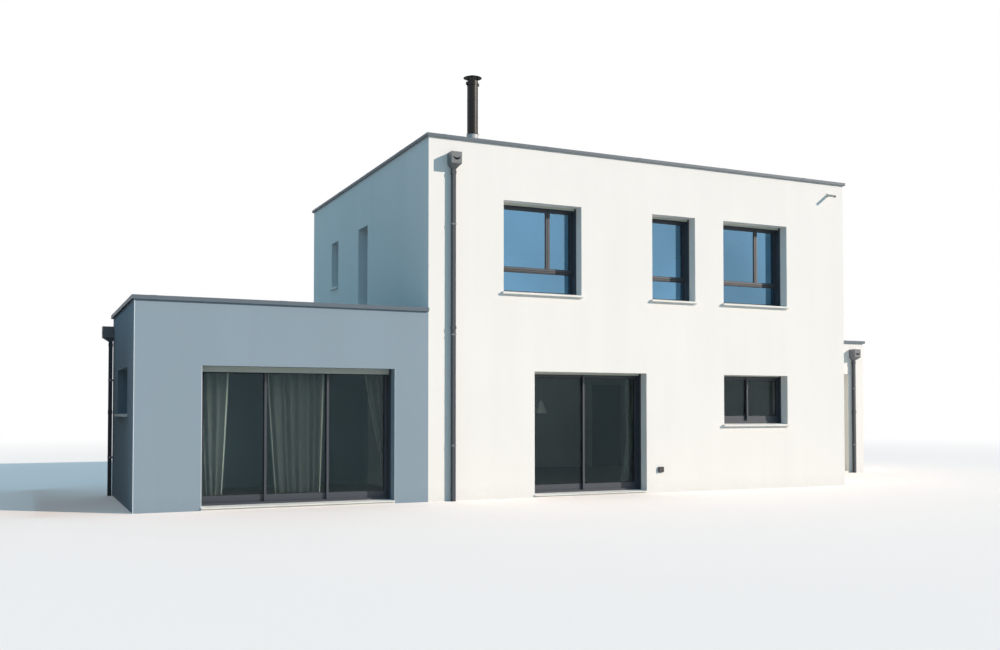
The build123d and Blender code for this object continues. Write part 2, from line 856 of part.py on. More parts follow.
def hopper():
    """An open box with a sloped foot and a crescent spill hole, its back at Y = 0, its mouth at Z = 0."""
    half = hopper_width / 2
    outer = block((-half, half), (-hopper_depth, 0), (-hopper_height, 0))
    inner = block(
        (-half + hopper_sheet, half - hopper_sheet),
        (-hopper_depth + hopper_sheet, -hopper_sheet),
        (-hopper_height, 0),
    )
    cover = Pos(0, spill_cover_rise, 0) * Cylinder(spill_cover_radius, 3 * hopper_sheet)
    spill = Rot(90, 0, 0) * (Cylinder(spill_radius, 2 * hopper_sheet) - cover)
    box = outer - inner - Pos(0, -hopper_depth, -spill_drop) * spill
    pipe_half = pipe_width / 2
    foot = -hopper_height - hopper_taper
    across = Polyline(
        (-half, -hopper_height), (half, -hopper_height), (pipe_half, foot), (-pipe_half, foot), close=True
    )
    along = Polyline(
        (0, -hopper_height),
        (-hopper_depth, -hopper_height),
        (-pipe_standoff - pipe_half, foot),
        (-pipe_standoff + pipe_half, foot),
        close=True,
    )
    funnel = extrude(make_face(Plane.XZ * across), hopper_depth, dir=(0, -1, 0))
    funnel &= Pos(-half, 0, 0) * extrude(make_face(Plane.YZ * along), hopper_width, dir=(1, 0, 0))
    return box + funnel


def downpipe(top):
    """A square pipe with rounded corners, from the hopper's foot to the ground."""
    plan = Pos(0, -pipe_standoff) * RectangleRounded(pipe_width, pipe_width, pipe_corner)
    return extrude(plan, top)


def bracket():
    """A strap round the pipe with a lug to the wall."""
    half = pipe_width / 2
    outer = half + bracket_thickness
    strap_z = (-bracket_height / 2, bracket_height / 2)
    back = -pipe_standoff + outer
    strap = block((-outer, outer), (-pipe_standoff - outer, back), strap_z)
    strap -= block((-half, half), (-pipe_standoff - half, -pipe_standoff + half), strap_z)
    return strap + block((-bracket_height / 2, bracket_height / 2), (back, 0), strap_z)


def rainwater():
    """Hopper heads and downpipes of the main roof, the wing and the garage."""
    places = (
        ("front", (main_x[0] + main_pipe_offset, main_y[0]), main_hopper_top),
        ("left", (wing_x[0], wing_y[1] - wing_pipe_inset), low_hopper_top),
        ("front", (garage_x[1] - garage_pipe_inset, garage_y[0]), low_hopper_top),
    )
    hoppers = []
    pipes = []
    brackets = []
    for side, (x, y), top in places:
        pipe_top = top - hopper_height - hopper_taper
        place = Pos(x, y, 0)
        hoppers.append(place * turned(Pos(0, 0, top) * hopper(), side))
        pipes.append(place * turned(downpipe(pipe_top), side))
        count = round(pipe_top / bracket_spacing)
        for index in range(count):
            height = pipe_top * (index + 0.5) / count
            brackets.append(place * turned(Pos(0, 0, height) * bracket(), side))
    keep("hopper_heads", *hoppers)
    keep("downpipes", *pipes)
    keep("pipe_brackets", *brackets)


def spout_place():
    """The overflow spout's middle line, on the front wall's outer face."""
    return Pos(main_x[1] - spout_inset, main_y[0], spout_height) * Rot(90, 0, 0)


def spout_hole():
    hole = Cylinder(spout_radius + spout_clearance, 4 * wall_thickness)
    return spout_place() * hole


def overflow_spout():
    """A tube through the parapet, its mouth well clear of the front."""
    whole = wall_thickness + spout_projection
    middle = spout_projection - whole / 2
    tube = Cylinder(spout_radius, whole) - Cylinder(spout_bore, whole)
    keep("overflow_spout", spout_place() * Pos(0, 0, middle) * tube)


# Flue and socket


def frustum(low_radius, high_radius, height):
    """A round taper standing on Z = 0."""
    return Pos(0, 0, height / 2) * Cone(low_radius, high_radius, height)


def standing_cylinder(radius, height):
    return extrude(Circle(radius), height)


def flue():
    """A round flue in a sleeve with a sloped foot, clamped at the top and capped on stays."""
    place = Pos(main_x[0] + flue_offset, main_y[0] + flue_inset, main_roof_level)
    pipe = standing_cylinder(flue_radius, flue_height) - standing_cylinder(flue_bore, flue_height)
    keep("flue_pipe", place * pipe)
    collar = frustum(flue_collar_radius, flue_sleeve_radius, flue_collar_height)
    collar += standing_cylinder(flue_sleeve_radius, flue_sleeve_height)
    keep("flue_collar", place * (collar - standing_cylinder(flue_radius, flue_sleeve_height)))

    clamp = standing_cylinder(flue_clamp_radius, flue_clamp_height)
    reach = flue_clamp_radius + flue_clamp_lug
    clamp += block((-reach, reach), (-bracket_thickness, bracket_thickness), (0, flue_clamp_height))
    clamp -= standing_cylinder(flue_radius, flue_clamp_height)
    clamp_low = flue_height - flue_clamp_drop - flue_clamp_height
    keep("flue_clamp", place * Pos(0, 0, clamp_low) * clamp)

    cap = Pos(0, 0, flue_cap_gap) * frustum(flue_cap_radius, flue_cap_tip, flue_cap_height)
    middle = (flue_radius + flue_bore) / 2
    stay = Pos(middle, 0, 0) * extrude(
        Rectangle(flue_radius - flue_bore, flue_stay_width), flue_cap_gap
    )
    for index in range(flue_stays):
        cap += Rot(0, 0, 360 * index / flue_stays) * stay
    keep("flue_cap", place * Pos(0, 0, flue_height) * cap)


def outdoor_socket():
    """A weatherproof socket outlet beside the sliding door, with a hood over its lid."""
    x = main_x[0] + socket_offset
    half = socket_width / 2
    low = socket_height - half
    high = socket_height + half
    case = block((x - half, x + half), (main_y[0] - socket_depth, main_y[0]), (low, high))
    rim = socket_hood
    mouth = block(
        (x - half + rim, x + half - rim),
        (main_y[0] - socket_depth, main_y[0] - socket_depth + rim),
        (low, high - rim),
    )
    keep("outdoor_socket", case - mouth)


# Lamp and curtains


def pendant_lamp():
    """A conical shade, open below, on a rigid stem from a rose on the ceiling."""
    place = Pos(main_x[0] + lamp_offset, main_y[0] + lamp_inset, lamp_low)
    taper = math.degrees(math.atan2(lamp_radius - lamp_neck_radius, lamp_height))
    rim = RegularPolygon(lamp_radius, lamp_sides, major_radius=False)
    cone = extrude(rim, lamp_height, taper=taper)
    shade = cone - Pos(0, 0, -lamp_wall) * cone
    ceiling = upper_floor_underside - lamp_low
    stem_top = RegularPolygon(lamp_stem_radius, lamp_stem_sides)
    stem = Pos(0, 0, lamp_height) * extrude(stem_top, ceiling - lamp_height)
    rose_top = RegularPolygon(lamp_rose_radius, lamp_sides)
    rose = Pos(0, 0, ceiling - lamp_rose_height) * extrude(rose_top, lamp_rose_height)
    keep("pendant_lamp", place * (shade + stem + rose))


def beside(place, span):
    """A span set against a place along X."""
    return (place + span[0], place + span[1])


def curtain(*edges):
    """A closed solid in the space that a hanging curtain fills, from its span at each height."""
    left = [(span[0], height) for height, span in edges]
    right = [(span[1], height) for height, span in reversed(edges)]
    shape = make_face(Plane.XZ * Polyline(*left, *right, close=True))
    rear_face = main_inner_y[0] + rail_inset + curtain_thickness / 2
    return Pos(0, rear_face, 0) * extrude(shape, curtain_thickness, dir=(0, -1, 0))


def curtains():
    """Gathered and tied curtains just inside the sliding doors, under rails on the ceiling."""
    head = upper_floor_underside - curtain_rail_height - curtain_seat_gap
    foot = floor_level + curtain_floor_gap
    wing_left, wing_right = wing_door_x
    main_right = main_door_x[1]
    keep(
        "wing_curtains",
        curtain((head, beside(wing_left, left_curtain_head)), (foot, beside(wing_left, left_curtain_foot))),
        curtain(
            (head, beside(wing_left, centre_curtain_head)), (foot, beside(wing_left, centre_curtain_foot))
        ),
        curtain(
            (head, beside(wing_right, right_curtain_head)),
            (curtain_tie_height, beside(wing_right, right_curtain_tie)),
            (foot, beside(wing_right, right_curtain_foot)),
        ),
    )
    keep(
        "main_curtain",
        curtain(
            (head, beside(main_right, main_curtain_head)),
            (curtain_waist_height, beside(main_right, main_curtain_waist)),
            (foot, beside(main_right, main_curtain_foot)),
        ),
    )
    middle = main_inner_y[0] + rail_inset
    rail_y = (middle - curtain_rail_width / 2, middle + curtain_rail_width / 2)
    rail_z = (upper_floor_underside - curtain_rail_height, upper_floor_underside)
    rails = []
    for door_x in (wing_door_x, main_door_x):
        rail_x = (door_x[0] - curtain_rail_reach, door_x[1] + curtain_rail_reach)
        rails.append(block(rail_x, rail_y, rail_z))
    keep("curtain_rails", *rails)


main_walls()
wing_walls()
garage_walls()
slabs()
copings()
window_guides, window_bars = windows()
shutters(window_guides, window_bars)
sliding_door("main", main_door_x, 2)
sliding_door("wing", wing_door_x, 3)
fixed_doors()
thresholds()
rainwater()
overflow_spout()
flue()
outdoor_socket()
pendant_lamp()
curtains()

os.makedirs("parts", exist_ok=True)
for name, part in parts.items():
    export_step(part, "parts/" + name + ".step")
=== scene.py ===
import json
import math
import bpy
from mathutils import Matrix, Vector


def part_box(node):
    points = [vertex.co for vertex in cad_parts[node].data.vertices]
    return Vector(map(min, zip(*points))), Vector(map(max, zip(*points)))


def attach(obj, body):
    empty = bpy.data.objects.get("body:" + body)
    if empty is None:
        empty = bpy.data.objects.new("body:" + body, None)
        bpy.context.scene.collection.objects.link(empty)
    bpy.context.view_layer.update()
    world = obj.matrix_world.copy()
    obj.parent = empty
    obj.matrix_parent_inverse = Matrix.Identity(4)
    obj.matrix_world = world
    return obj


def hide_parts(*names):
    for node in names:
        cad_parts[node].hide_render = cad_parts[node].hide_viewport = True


bl_info = {
    "name": "Detached House",
    "version": (1, 1, 0),
    "blender": (4, 5, 0),
    "location": "View3D > Sidebar > House",
    "description": "Dresses a flat-roofed detached house with its finishes, trims and studio",
    "category": "Object",
}

import bmesh
import bpy
from bpy.props import FloatProperty, FloatVectorProperty, PointerProperty
from mathutils import Matrix, Vector

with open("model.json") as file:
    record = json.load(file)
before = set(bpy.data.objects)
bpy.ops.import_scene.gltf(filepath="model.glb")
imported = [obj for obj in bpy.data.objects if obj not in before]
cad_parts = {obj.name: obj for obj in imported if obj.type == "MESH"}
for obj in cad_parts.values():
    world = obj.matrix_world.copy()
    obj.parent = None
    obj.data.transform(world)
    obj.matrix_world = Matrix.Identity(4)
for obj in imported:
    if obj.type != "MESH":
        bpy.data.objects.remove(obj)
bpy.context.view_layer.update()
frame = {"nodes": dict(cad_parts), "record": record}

# All lengths are in metres.
X, Y, Z = 0, 1, 2
WHITE = (1.0, 1.0, 1.0, 1.0)
HOUSE = "house"
# The body of each sliding leaf, and how its nodes' names start.
LEAVES = {
    "main_left_leaf": "main_door_left",
    "main_right_leaf": "main_door_right",
    "wing_left_leaf": "wing_door_left",
    "wing_middle_leaf": "wing_door_middle",
    "wing_right_leaf": "wing_door_right",
}
INNERMOST = ("main_left_leaf", "wing_left_leaf")
OUTERMOST = ("main_right_leaf", "wing_right_leaf")
SLOTS = {part["node"]: part["material_slot"] for part in frame["record"]["subparts"]}
MAIN_LOW, MAIN_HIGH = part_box("main_front_wall_upper")
# A hopper or pipe to the left of this stands on the wing's side wall.
WING_SIDE = MAIN_LOW.x - 3.0


def linear(text):
    """Turns an sRGB hex value to a linear colour."""
    values = [int(text[i : i + 2], 16) / 255 for i in (0, 2, 4)]
    curve = [v / 12.92 if v <= 0.04045 else ((v + 0.055) / 1.055) ** 2.4 for v in values]
    return (*curve, 1.0)


# Properties


class HouseColours(bpy.types.PropertyGroup):
    """Colours of the finishes."""

    white_render: FloatVectorProperty(
        name="White render", description="Scraped mineral render of the main block",
        default=linear("F3F1EE"), size=4, subtype="COLOR",
    )
    blue_render: FloatVectorProperty(
        name="Blue render", description="Tinted mineral render of the wing",
        default=linear("90A1AE"), size=4, subtype="COLOR",
    )
    joinery: FloatVectorProperty(
        name="Joinery", description="Powder coat of windows and sliding doors",
        default=linear("353D47"), size=4, subtype="COLOR",
    )
    coping: FloatVectorProperty(
        name="Coping", description="Powder coat of the copings", default=linear("616C76"), size=4,
        subtype="COLOR",
    )
    rainwater: FloatVectorProperty(
        name="Rainwater goods", description="Lacquer of hopper heads and brackets",
        default=linear("6C6F73"), size=4, subtype="COLOR",
    )
    flue: FloatVectorProperty(
        name="Flue", description="Matt enamel of the flue", default=linear("0F1114"), size=4,
        subtype="COLOR",
    )
    garage_door: FloatVectorProperty(
        name="Garage door", description="Lacquer of the garage door", default=linear("CFC8B6"),
        size=4, subtype="COLOR",
    )
    # The curtains' mid grey is painted shade: pale voile darkened as it looks in a dim room.
    curtain: FloatVectorProperty(
        name="Curtains", description="Voile of the curtains", default=linear("8E9491"), size=4,
        subtype="COLOR",
    )


class HouseSizes(bpy.types.PropertyGroup):
    """Sizes of the trims that the construction leaves out."""

    grain: FloatProperty(
        name="Render grain",
        description="Grain of the scraped render, coarser than the real 2 mm so that it shows",
        default=0.011, unit="LENGTH",
    )
    gasket: FloatProperty(
        name="Gasket", description="Width of the rubber line round a pane", default=0.007,
        unit="LENGTH",
    )
    # The white corner beads partly paint a highlight along the wing's edges.
    corner_bead: FloatProperty(
        name="Corner bead", description="Face of the white corner beads", default=0.009,
        unit="LENGTH",
    )
    felt_roll: FloatProperty(
        name="Felt roll", description="Width of one roll of roofing felt", default=1.0,
        unit="LENGTH",
    )
    felt_lap: FloatProperty(
        name="Felt lap", description="Width of the lap between rolls", default=0.08, unit="LENGTH",
    )


class StageSettings(bpy.types.PropertyGroup):
    """Light and camera of the studio."""

    sun_strength: FloatProperty(
        name="Key light", description="Strength of the key lamp", default=4.12,
    )
    sun_colour: FloatVectorProperty(
        name="Key colour", description="Warmth of the key lamp", default=(1.0, 0.86, 0.745),
        subtype="COLOR",
    )
    fill_colour: FloatVectorProperty(
        name="Fill light", description="Colour and level of the even fill",
        default=linear("78A6BF"), size=4, subtype="COLOR",
    )
    travel: FloatVectorProperty(
        name="Light direction",
        description="Where the key light travels, from the shadows of the hopper head and spout",
        default=(-1.24, 1.0, -0.66), subtype="DIRECTION",
    )
    lens: FloatProperty(
        name="Lens", description="Focal length that the photograph's lines give, in millimetres",
        default=37.02, unit="CAMERA",
    )
    camera_place: FloatVectorProperty(
        name="Camera place", description="From the main block's front left corner",
        default=(-6.394, -16.622, 1.574), subtype="TRANSLATION",
    )
    camera_yaw: FloatProperty(
        name="Camera yaw", description="Turn to the right", default=math.radians(25.03),
        subtype="ANGLE",
    )
    camera_pitch: FloatProperty(
        name="Camera pitch", description="Tilt upwards", default=math.radians(1.44),
        subtype="ANGLE",
    )
    camera_shift: FloatProperty(
        name="Camera shift", description="Upward shift of the picture, as a share of its width",
        default=0.0598,
    )


# Node helpers


def shade(colour, factor):
    """The same colour, darker or lighter."""
    return (*(min(1.0, c * factor) for c in colour[:3]), 1.0)


def add(tree, kind, inputs=None, **settings):
    """Adds a shader node with its settings, and its inputs as values, sockets or nodes."""
    item = tree.nodes.new("ShaderNode" + kind)
    for key, value in settings.items():
        setattr(item, key, value)
    for key, value in (inputs or {}).items():
        if isinstance(value, bpy.types.Node):
            value = next(socket for socket in value.outputs if socket.enabled)
        if isinstance(value, bpy.types.NodeSocket):
            tree.links.new(value, item.inputs[key])
        else:
            item.inputs[key].default_value = value
    return item


def new_material(name):
    """An empty material with its node tree and object coordinates."""
    material = bpy.data.materials.new(name)
    material.use_nodes = True
    tree = material.node_tree
    tree.nodes.clear()
    return material, tree, add(tree, "TexCoord").outputs["Object"]


def finish_material(material, surface):
    """Ends a material in a shader with these values, and returns it."""
    tree = material.node_tree
    shader = add(tree, "BsdfPrincipled", surface)
    add(tree, "OutputMaterial", {"Surface": shader})
    return material


def mottle(tree, place, scale, detail, dark, pale):
    """Soft patches of a darker and a paler colour, so many to a metre."""
    noise = add(tree, "TexNoise", {"Vector": place, "Scale": scale, "Detail": detail})
    return add(tree, "Mix", {"Factor": noise, "A": dark, "B": pale}, data_type="RGBA")


def relief(tree, place, scale, detail, strength, depth):
    """A fine unevenness of the surface, with so many bumps to a metre."""
    noise = add(tree, "TexNoise", {"Vector": place, "Scale": scale, "Detail": detail})
    return add(tree, "Bump", {"Height": noise, "Strength": strength, "Distance": depth})


# Materials. A noise's scale is the number of its patches to a metre.


def scraped_render(name, colour, grain):
    """Through-coloured mineral render, scraped with a nail board: matt, with a fine open grain.

    The day's work shows as faint clouds, rain leaves faint upright runs, and its splashes
    dull the lowest quarter of a metre.
    """
    material, tree, place = new_material(name)
    # Clouds are about 1.8 m across, and runs 0.4 m wide and 7 m long.
    cloud = add(tree, "TexNoise", {"Vector": place, "Scale": 0.55, "Detail": 4.0})
    tall = add(tree, "Mapping", {"Vector": place, "Scale": (2.4, 2.4, 0.14)})
    run = add(tree, "TexNoise", {"Vector": tall, "Scale": 1.0, "Detail": 5.0})
    both = add(tree, "Math", {0: cloud, 1: run}, operation="ADD")
    tone = add(tree, "MapRange", {"Value": both, "From Min": 0.7, "From Max": 1.3})
    clouded = {"Factor": tone, "A": shade(colour, 0.975), "B": shade(colour, 1.015)}
    body = add(tree, "Mix", clouded, data_type="RGBA")
    coarse = {"Vector": place, "Scale": 1.0 / grain, "Detail": 3.0, "Roughness": 0.65}
    grit = add(tree, "TexNoise", coarse)
    pit = {"Value": grit, "From Min": 0.3, "From Max": 0.62, "To Min": 0.94, "To Max": 1.0}
    pits = {"Factor": 1.0, "A": body, "B": add(tree, "MapRange", pit)}
    pitted = add(tree, "Mix", pits, data_type="RGBA", blend_type="MULTIPLY")
    # Splashes fade out 0.28 m above the ground, in patches of 90 mm.
    height = add(tree, "SeparateXYZ", {0: place}).outputs["Z"]
    near = {"Value": height, "From Min": 0.0, "From Max": 0.28, "To Min": 0.3, "To Max": 0.0}
    splash = add(tree, "TexNoise", {"Vector": place, "Scale": 11.0, "Detail": 7.0})
    dirt = add(tree, "Math", {0: add(tree, "MapRange", near), 1: splash}, operation="MULTIPLY")
    dull = {"Factor": dirt, "A": pitted, "B": shade(colour, 0.6)}
    surface = {
        "Base Color": add(tree, "Mix", dull, data_type="RGBA"),
        "Roughness": 0.92,
        "Specular IOR Level": 0.25,
        "Normal": add(tree, "Bump", {"Height": grit, "Strength": 0.4, "Distance": 0.002}),
    }
    return finish_material(material, surface)


def powder_coat(name, colour, roughness=0.42, mirror=0.5):
    """Polyester powder coat or lacquer on metal: even and satin, with thin dust.

    Its orange peel is drawn at 4 mm, not 1, so that it shows.
    """
    material, tree, place = new_material(name)
    dust = add(tree, "TexNoise", {"Vector": place, "Scale": 14.0, "Detail": 5.0})
    dusty = {"Value": dust, "To Min": roughness - 0.06, "To Max": roughness + 0.1}
    surface = {
        "Base Color": mottle(tree, place, 1.7, 3.0, shade(colour, 0.92), shade(colour, 1.08)),
        "Roughness": add(tree, "MapRange", dusty),
        "Specular IOR Level": mirror,
        "Normal": relief(tree, place, 260.0, 1.0, 0.12, 0.0005),
    }
    return finish_material(material, surface)


def moulded_plastic(name, colour):
    """Injection-moulded plastic, weathered outdoors: even and dull.

    Its spark texture is drawn at 2.4 mm, not 0.1, so that it shows.
    """
    material, tree, place = new_material(name)
    surface = {
        "Base Color": mottle(tree, place, 9.0, 4.0, shade(colour, 0.88), shade(colour, 1.12)),
        "Roughness": 0.55,
        "IOR": 1.58,
        "Normal": relief(tree, place, 420.0, 2.0, 0.2, 0.0004),
    }
    return finish_material(material, surface)


def brushed_steel(name, colour):
    """Stainless steel brushed level: bright. Its scratches are drawn 1 mm apart, not 0.1."""
    material, tree, place = new_material(name)
    drawn = add(tree, "Mapping", {"Vector": place, "Scale": (3.0, 3.0, 900.0)})
    scratch = add(tree, "TexNoise", {"Vector": drawn, "Scale": 1.0, "Detail": 2.0})
    rough = add(tree, "MapRange", {"Value": scratch, "To Min": 0.22, "To Max": 0.45})
    return finish_material(material, {"Base Color": colour, "Metallic": 1.0, "Roughness": rough})


def cast_concrete(name, colour, grain):
    """Cast stone or trowelled concrete: matt and faintly clouded.

    Its pores are drawn as wide as the grain, coarser than the real 1 mm, so that they show.
    """
    material, tree, place = new_material(name)
    cloud = add(tree, "TexNoise", {"Vector": place, "Scale": 3.0, "Detail": 6.0})
    pores = add(tree, "TexNoise", {"Vector": place, "Scale": 1.0 / grain, "Detail": 4.0})
    both = add(tree, "Math", {0: cloud, 1: pores}, operation="MULTIPLY")
    tone = add(tree, "MapRange", {"Value": both, "From Min": 0.12, "From Max": 0.38})
    clouded = {"Factor": tone, "A": shade(colour, 0.84), "B": colour}
    surface = {
        "Base Color": add(tree, "Mix", clouded, data_type="RGBA"),
        "Roughness": 0.75,
        "Normal": add(tree, "Bump", {"Height": pores, "Strength": 0.25, "Distance": 0.001}),
    }
    return finish_material(material, surface)


def mineral_felt(name, colour):
    """Torched roofing felt with slate granules: dull and speckled, with paler dried puddles.

    The granules are drawn at 8 mm, not 1, so that they show.
    """
    material, tree, place = new_material(name)
    granules = add(tree, "TexNoise", {"Vector": place, "Scale": 120.0, "Detail": 2.0})
    puddles = add(tree, "TexNoise", {"Vector": place, "Scale": 0.9, "Detail": 6.0})
    both = add(tree, "Math", {0: granules, 1: puddles}, operation="MULTIPLY")
    tone = add(tree, "MapRange", {"Value": both, "From Min": 0.12, "From Max": 0.42})
    speckled = {"Factor": tone, "A": shade(colour, 0.55), "B": shade(colour, 1.5)}
    surface = {
        "Base Color": add(tree, "Mix", speckled, data_type="RGBA"),
        "Roughness": 0.9,
        "Normal": add(tree, "Bump", {"Height": granules, "Strength": 0.5, "Distance": 0.0015}),
    }
    return finish_material(material, surface)


def sealed_glass(name, tint, painted_sky_metallic, mirror):
    """Float glass in a sealed unit: clear, hardly uneven, with a dim blue mirror where it is
    metallic.

    The blue mirror is a painted reflection of a blue sky, a little paler in some places than in
    others, and the panes bend reflections in waves 0.9 m long.
    """
    material, tree, place = new_material(name)
    sky = add(tree, "TexNoise", {"Vector": place, "Scale": 0.45, "Detail": 1.0})
    tone = add(tree, "MapRange", {"Value": sky, "From Min": 0.35, "From Max": 0.65})
    painted_sky_film = {"Factor": tone, "A": shade(tint, 0.86), "B": shade(tint, 1.14)}
    surface = {
        "Base Color": add(tree, "Mix", painted_sky_film, data_type="RGBA"),
        "Metallic": painted_sky_metallic,
        "Roughness": 0.015,
        "IOR": 1.5,
        "Transmission Weight": 1.0,
        "Specular Tint": mirror,
        "Normal": relief(tree, place, 1.1, 1.0, 0.04, 0.002),
    }
    return finish_material(material, surface)


def rubber(name, colour):
    """Extruded rubber or brush pile: black and dull, worn in patches of 30 mm."""
    material, tree, place = new_material(name)
    tone = mottle(tree, place, 30.0, 2.0, shade(colour, 0.8), shade(colour, 1.3))
    return finish_material(material, {"Base Color": tone, "Roughness": 0.8})


def voile(name, colour, cover):
    """Plain-woven polyester voile: pale, soft, a little sheer.

    Its threads are drawn at 3 mm, not 0.4, so that they show.
    """
    material, tree, place = new_material(name)
    fine = add(tree, "Mapping", {"Vector": place, "Scale": (330.0, 330.0, 330.0)})
    thread = add(tree, "TexNoise", {"Vector": fine, "Scale": 1.0, "Detail": 2.0})
    woven = {"Factor": thread, "A": shade(colour, 0.82), "B": shade(colour, 1.08)}
    surface = {
        "Base Color": add(tree, "Mix", woven, data_type="RGBA"),
        "Roughness": 0.85,
        "Sheen Weight": 0.3,
        "Alpha": cover,
        "Normal": add(tree, "Bump", {"Height": thread, "Strength": 0.25, "Distance": 0.0006}),
    }
    return finish_material(material, surface)


def make_finishes():
    """Builds every finish once, by the record's slot or by a name of its own."""
    colours = bpy.context.scene.house_colours
    grain = bpy.context.scene.house_sizes.grain
    return {
        "white_render": scraped_render("scraped_render_white", colours.white_render, grain),
        "blue_render": scraped_render("scraped_render_blue", colours.blue_render, grain),
        "concrete": cast_concrete("trowelled_concrete", linear("8F8C85"), 0.02),
        "white_concrete": cast_concrete("cast_stone_white", linear("F2F1EC"), 0.006),
        "roof_membrane": mineral_felt("mineral_roofing_felt", linear("5C5F62")),
        "coping_aluminium": powder_coat("powder_coated_coping", colours.coping, 0.5, 0.3),
        "anthracite_aluminium": powder_coat("powder_coated_joinery", colours.joinery, 0.4, 0.6),
        "rainwater_metal": powder_coat("lacquered_steel_rainwater", colours.rainwater, 0.38),
        "flue_steel": powder_coat("enamelled_flue_steel", colours.flue, 0.4, 0.3),
        "downpipe_steel": powder_coat("lacquered_downpipe_steel", linear("42484F"), 0.5, 0.3),
        "lead_grey": powder_coat("galvanised_flashing", linear("B4B7BA"), 0.4),
        "spout_plastic": moulded_plastic("unplasticised_vinyl", linear("CBC9C3")),
        "socket_plastic": moulded_plastic("moulded_polycarbonate", linear("26282C")),
        "garage_door_steel": powder_coat("lacquered_door_steel", colours.garage_door, 0.45),
        # The upper panes' blue metallic mirror and its patches are a painted reflection of a blue
        # sky.
        "glass": sealed_glass("painted_sky_reflection_glass", linear("88C0E2"), 0.42, WHITE),
        # The clear panes' grey-blue specular tint dims their reflections: a painted reflection of
        # darker surroundings.
        "clear_glass": sealed_glass("clear_sealed_glass", linear("DCE6E4"), 0.0, linear("8BA5B0")),
        "white_enamel": powder_coat("stove_enamelled_steel", linear("E9E8E4"), 0.35),
        "shutter_aluminium": powder_coat("lacquered_shutter_slat", linear("C6C8BC"), 0.4),
        # The cloth's mid grey is painted shade of a dim room; the hems keep the voile's pale
        # colour.
        "curtain_cloth": voile("woven_voile_painted_shade", colours.curtain, 0.6),
        "curtain_hem": voile("hemmed_voile", linear("E4E6DE"), 0.95),
        # White beads, partly a painted highlight along the wing's edges.
        "bead": moulded_plastic("corner_bead_vinyl_painted_highlight", linear("D3DCE1")),
        "gasket": rubber("extruded_gasket", linear("141516")),
        "steel": brushed_steel("brushed_stainless_steel", linear("C9CACC")),
        "bulb": moulded_plastic("opal_lamp_plastic", linear("F6F2E8")),
    }


finishes = {}


def paint(names, finish=None):
    """Gives CAD nodes the finish of their slot, or another that is named."""
    for name in names:
        node = frame["nodes"][name]
        node.data.materials.clear()
        node.data.materials.append(finishes[finish or SLOTS[name]])


def nodes_like(*words):
    """Names of the CAD nodes that hold any of these words."""
    return [name for name in frame["nodes"] if any(word in name for word in words)]


# Mesh helpers


def solid_boxes(name):
    """The box of each separate solid of a CAD node, from left to right."""
    mesh = bmesh.new()
    mesh.from_mesh(frame["nodes"][name].data)
    bmesh.ops.remove_doubles(mesh, verts=mesh.verts, dist=1e-5)
    boxes = []
    left = set(mesh.verts)
    while left:
        solid = linked(left.pop())
        left -= solid
        points = [vert.co for vert in solid]
        boxes.append([Vector(map(pick, zip(*points))) for pick in (min, max)])
    mesh.free()
    return sorted(boxes, key=lambda box: [round(value, 3) for value in (*box[0], *box[1])])


def linked(start):
    """All the vertices that edges join to one."""
    found = set()
    waiting = [start]
    while waiting:
        vert = waiting.pop()
        if vert not in found:
            found.add(vert)
            waiting.extend(edge.other_vert(vert) for edge in vert.link_edges)
    return found


def middle_of(box):
    """The centre of a box."""
    return (box[0] + box[1]) / 2


def corners(across, along, through, height):
    """Opposite corners of a box, from its ranges along a wall, through it and upwards."""
    low, high = Vector(), Vector()
    low[across], high[across] = along
    low[1 - across], high[1 - across] = sorted(through)
    low.z, high.z = height
    return low, high


def about(middle, half):
    """The range that reaches equally far to both sides of a middle."""
    return middle - half, middle + half


def bar(mesh, low, high, rounding=0.0):
    """Adds a box between two corners, its edges rounded, and returns its vertices."""
    low, high = Vector(low), Vector(high)
    made = bmesh.ops.create_cube(mesh, size=1.0)["verts"]
    bmesh.ops.scale(mesh, vec=high - low, verts=made)
    bmesh.ops.translate(mesh, vec=(low + high) / 2, verts=made)
    if rounding:
        edges = list({edge for vert in made for edge in vert.link_edges})
        done = bmesh.ops.bevel(
            mesh,
            geom=edges,
            offset=rounding,
            segments=2,
            profile=0.5,
            material=-1,
            affect="EDGES",
        )
        made = list({vert for face in done["faces"] for vert in face.verts})
    return made


def wall_bar(mesh, across, along, through, height, rounding=0.0):
    """Adds a box by its ranges along a wall, through it and upwards."""
    bar(mesh, *corners(across, along, through, height), rounding)


def furniture(mesh, place, rows, across=X, out=1):
    """Adds bars to a face, by how far each reaches from a point along it, out and upwards."""
    for along, through, height, rounding in rows:
        along = [place[across] + value for value in along]
        through = [place[1 - across] + out * value for value in through]
        height = [place[Z] + value for value in height]
        wall_bar(mesh, across, along, through, height, rounding)


def thin_axis(low, high):
    """The axis along which a box is thinnest."""
    return min((X, Y, Z), key=lambda axis: high[axis] - low[axis])


def ring(mesh, low, high, width):
    """Adds a rectangular ring round a light, as deep as its box is thin."""
    low, high = Vector(low), Vector(high)
    made = bar(mesh, low, high)
    mesh.normal_update()
    thin = thin_axis(low, high)
    faces = {face for vert in made for face in vert.link_faces}
    broad = [face for face in faces if abs(face.normal[thin]) > 0.9]
    bmesh.ops.inset_region(mesh, faces=broad, thickness=width, use_even_offset=True)
    rims = [edge for face in broad for edge in face.edges]
    bmesh.ops.delete(mesh, geom=broad, context="FACES_ONLY")
    bmesh.ops.bridge_loops(mesh, edges=rims)


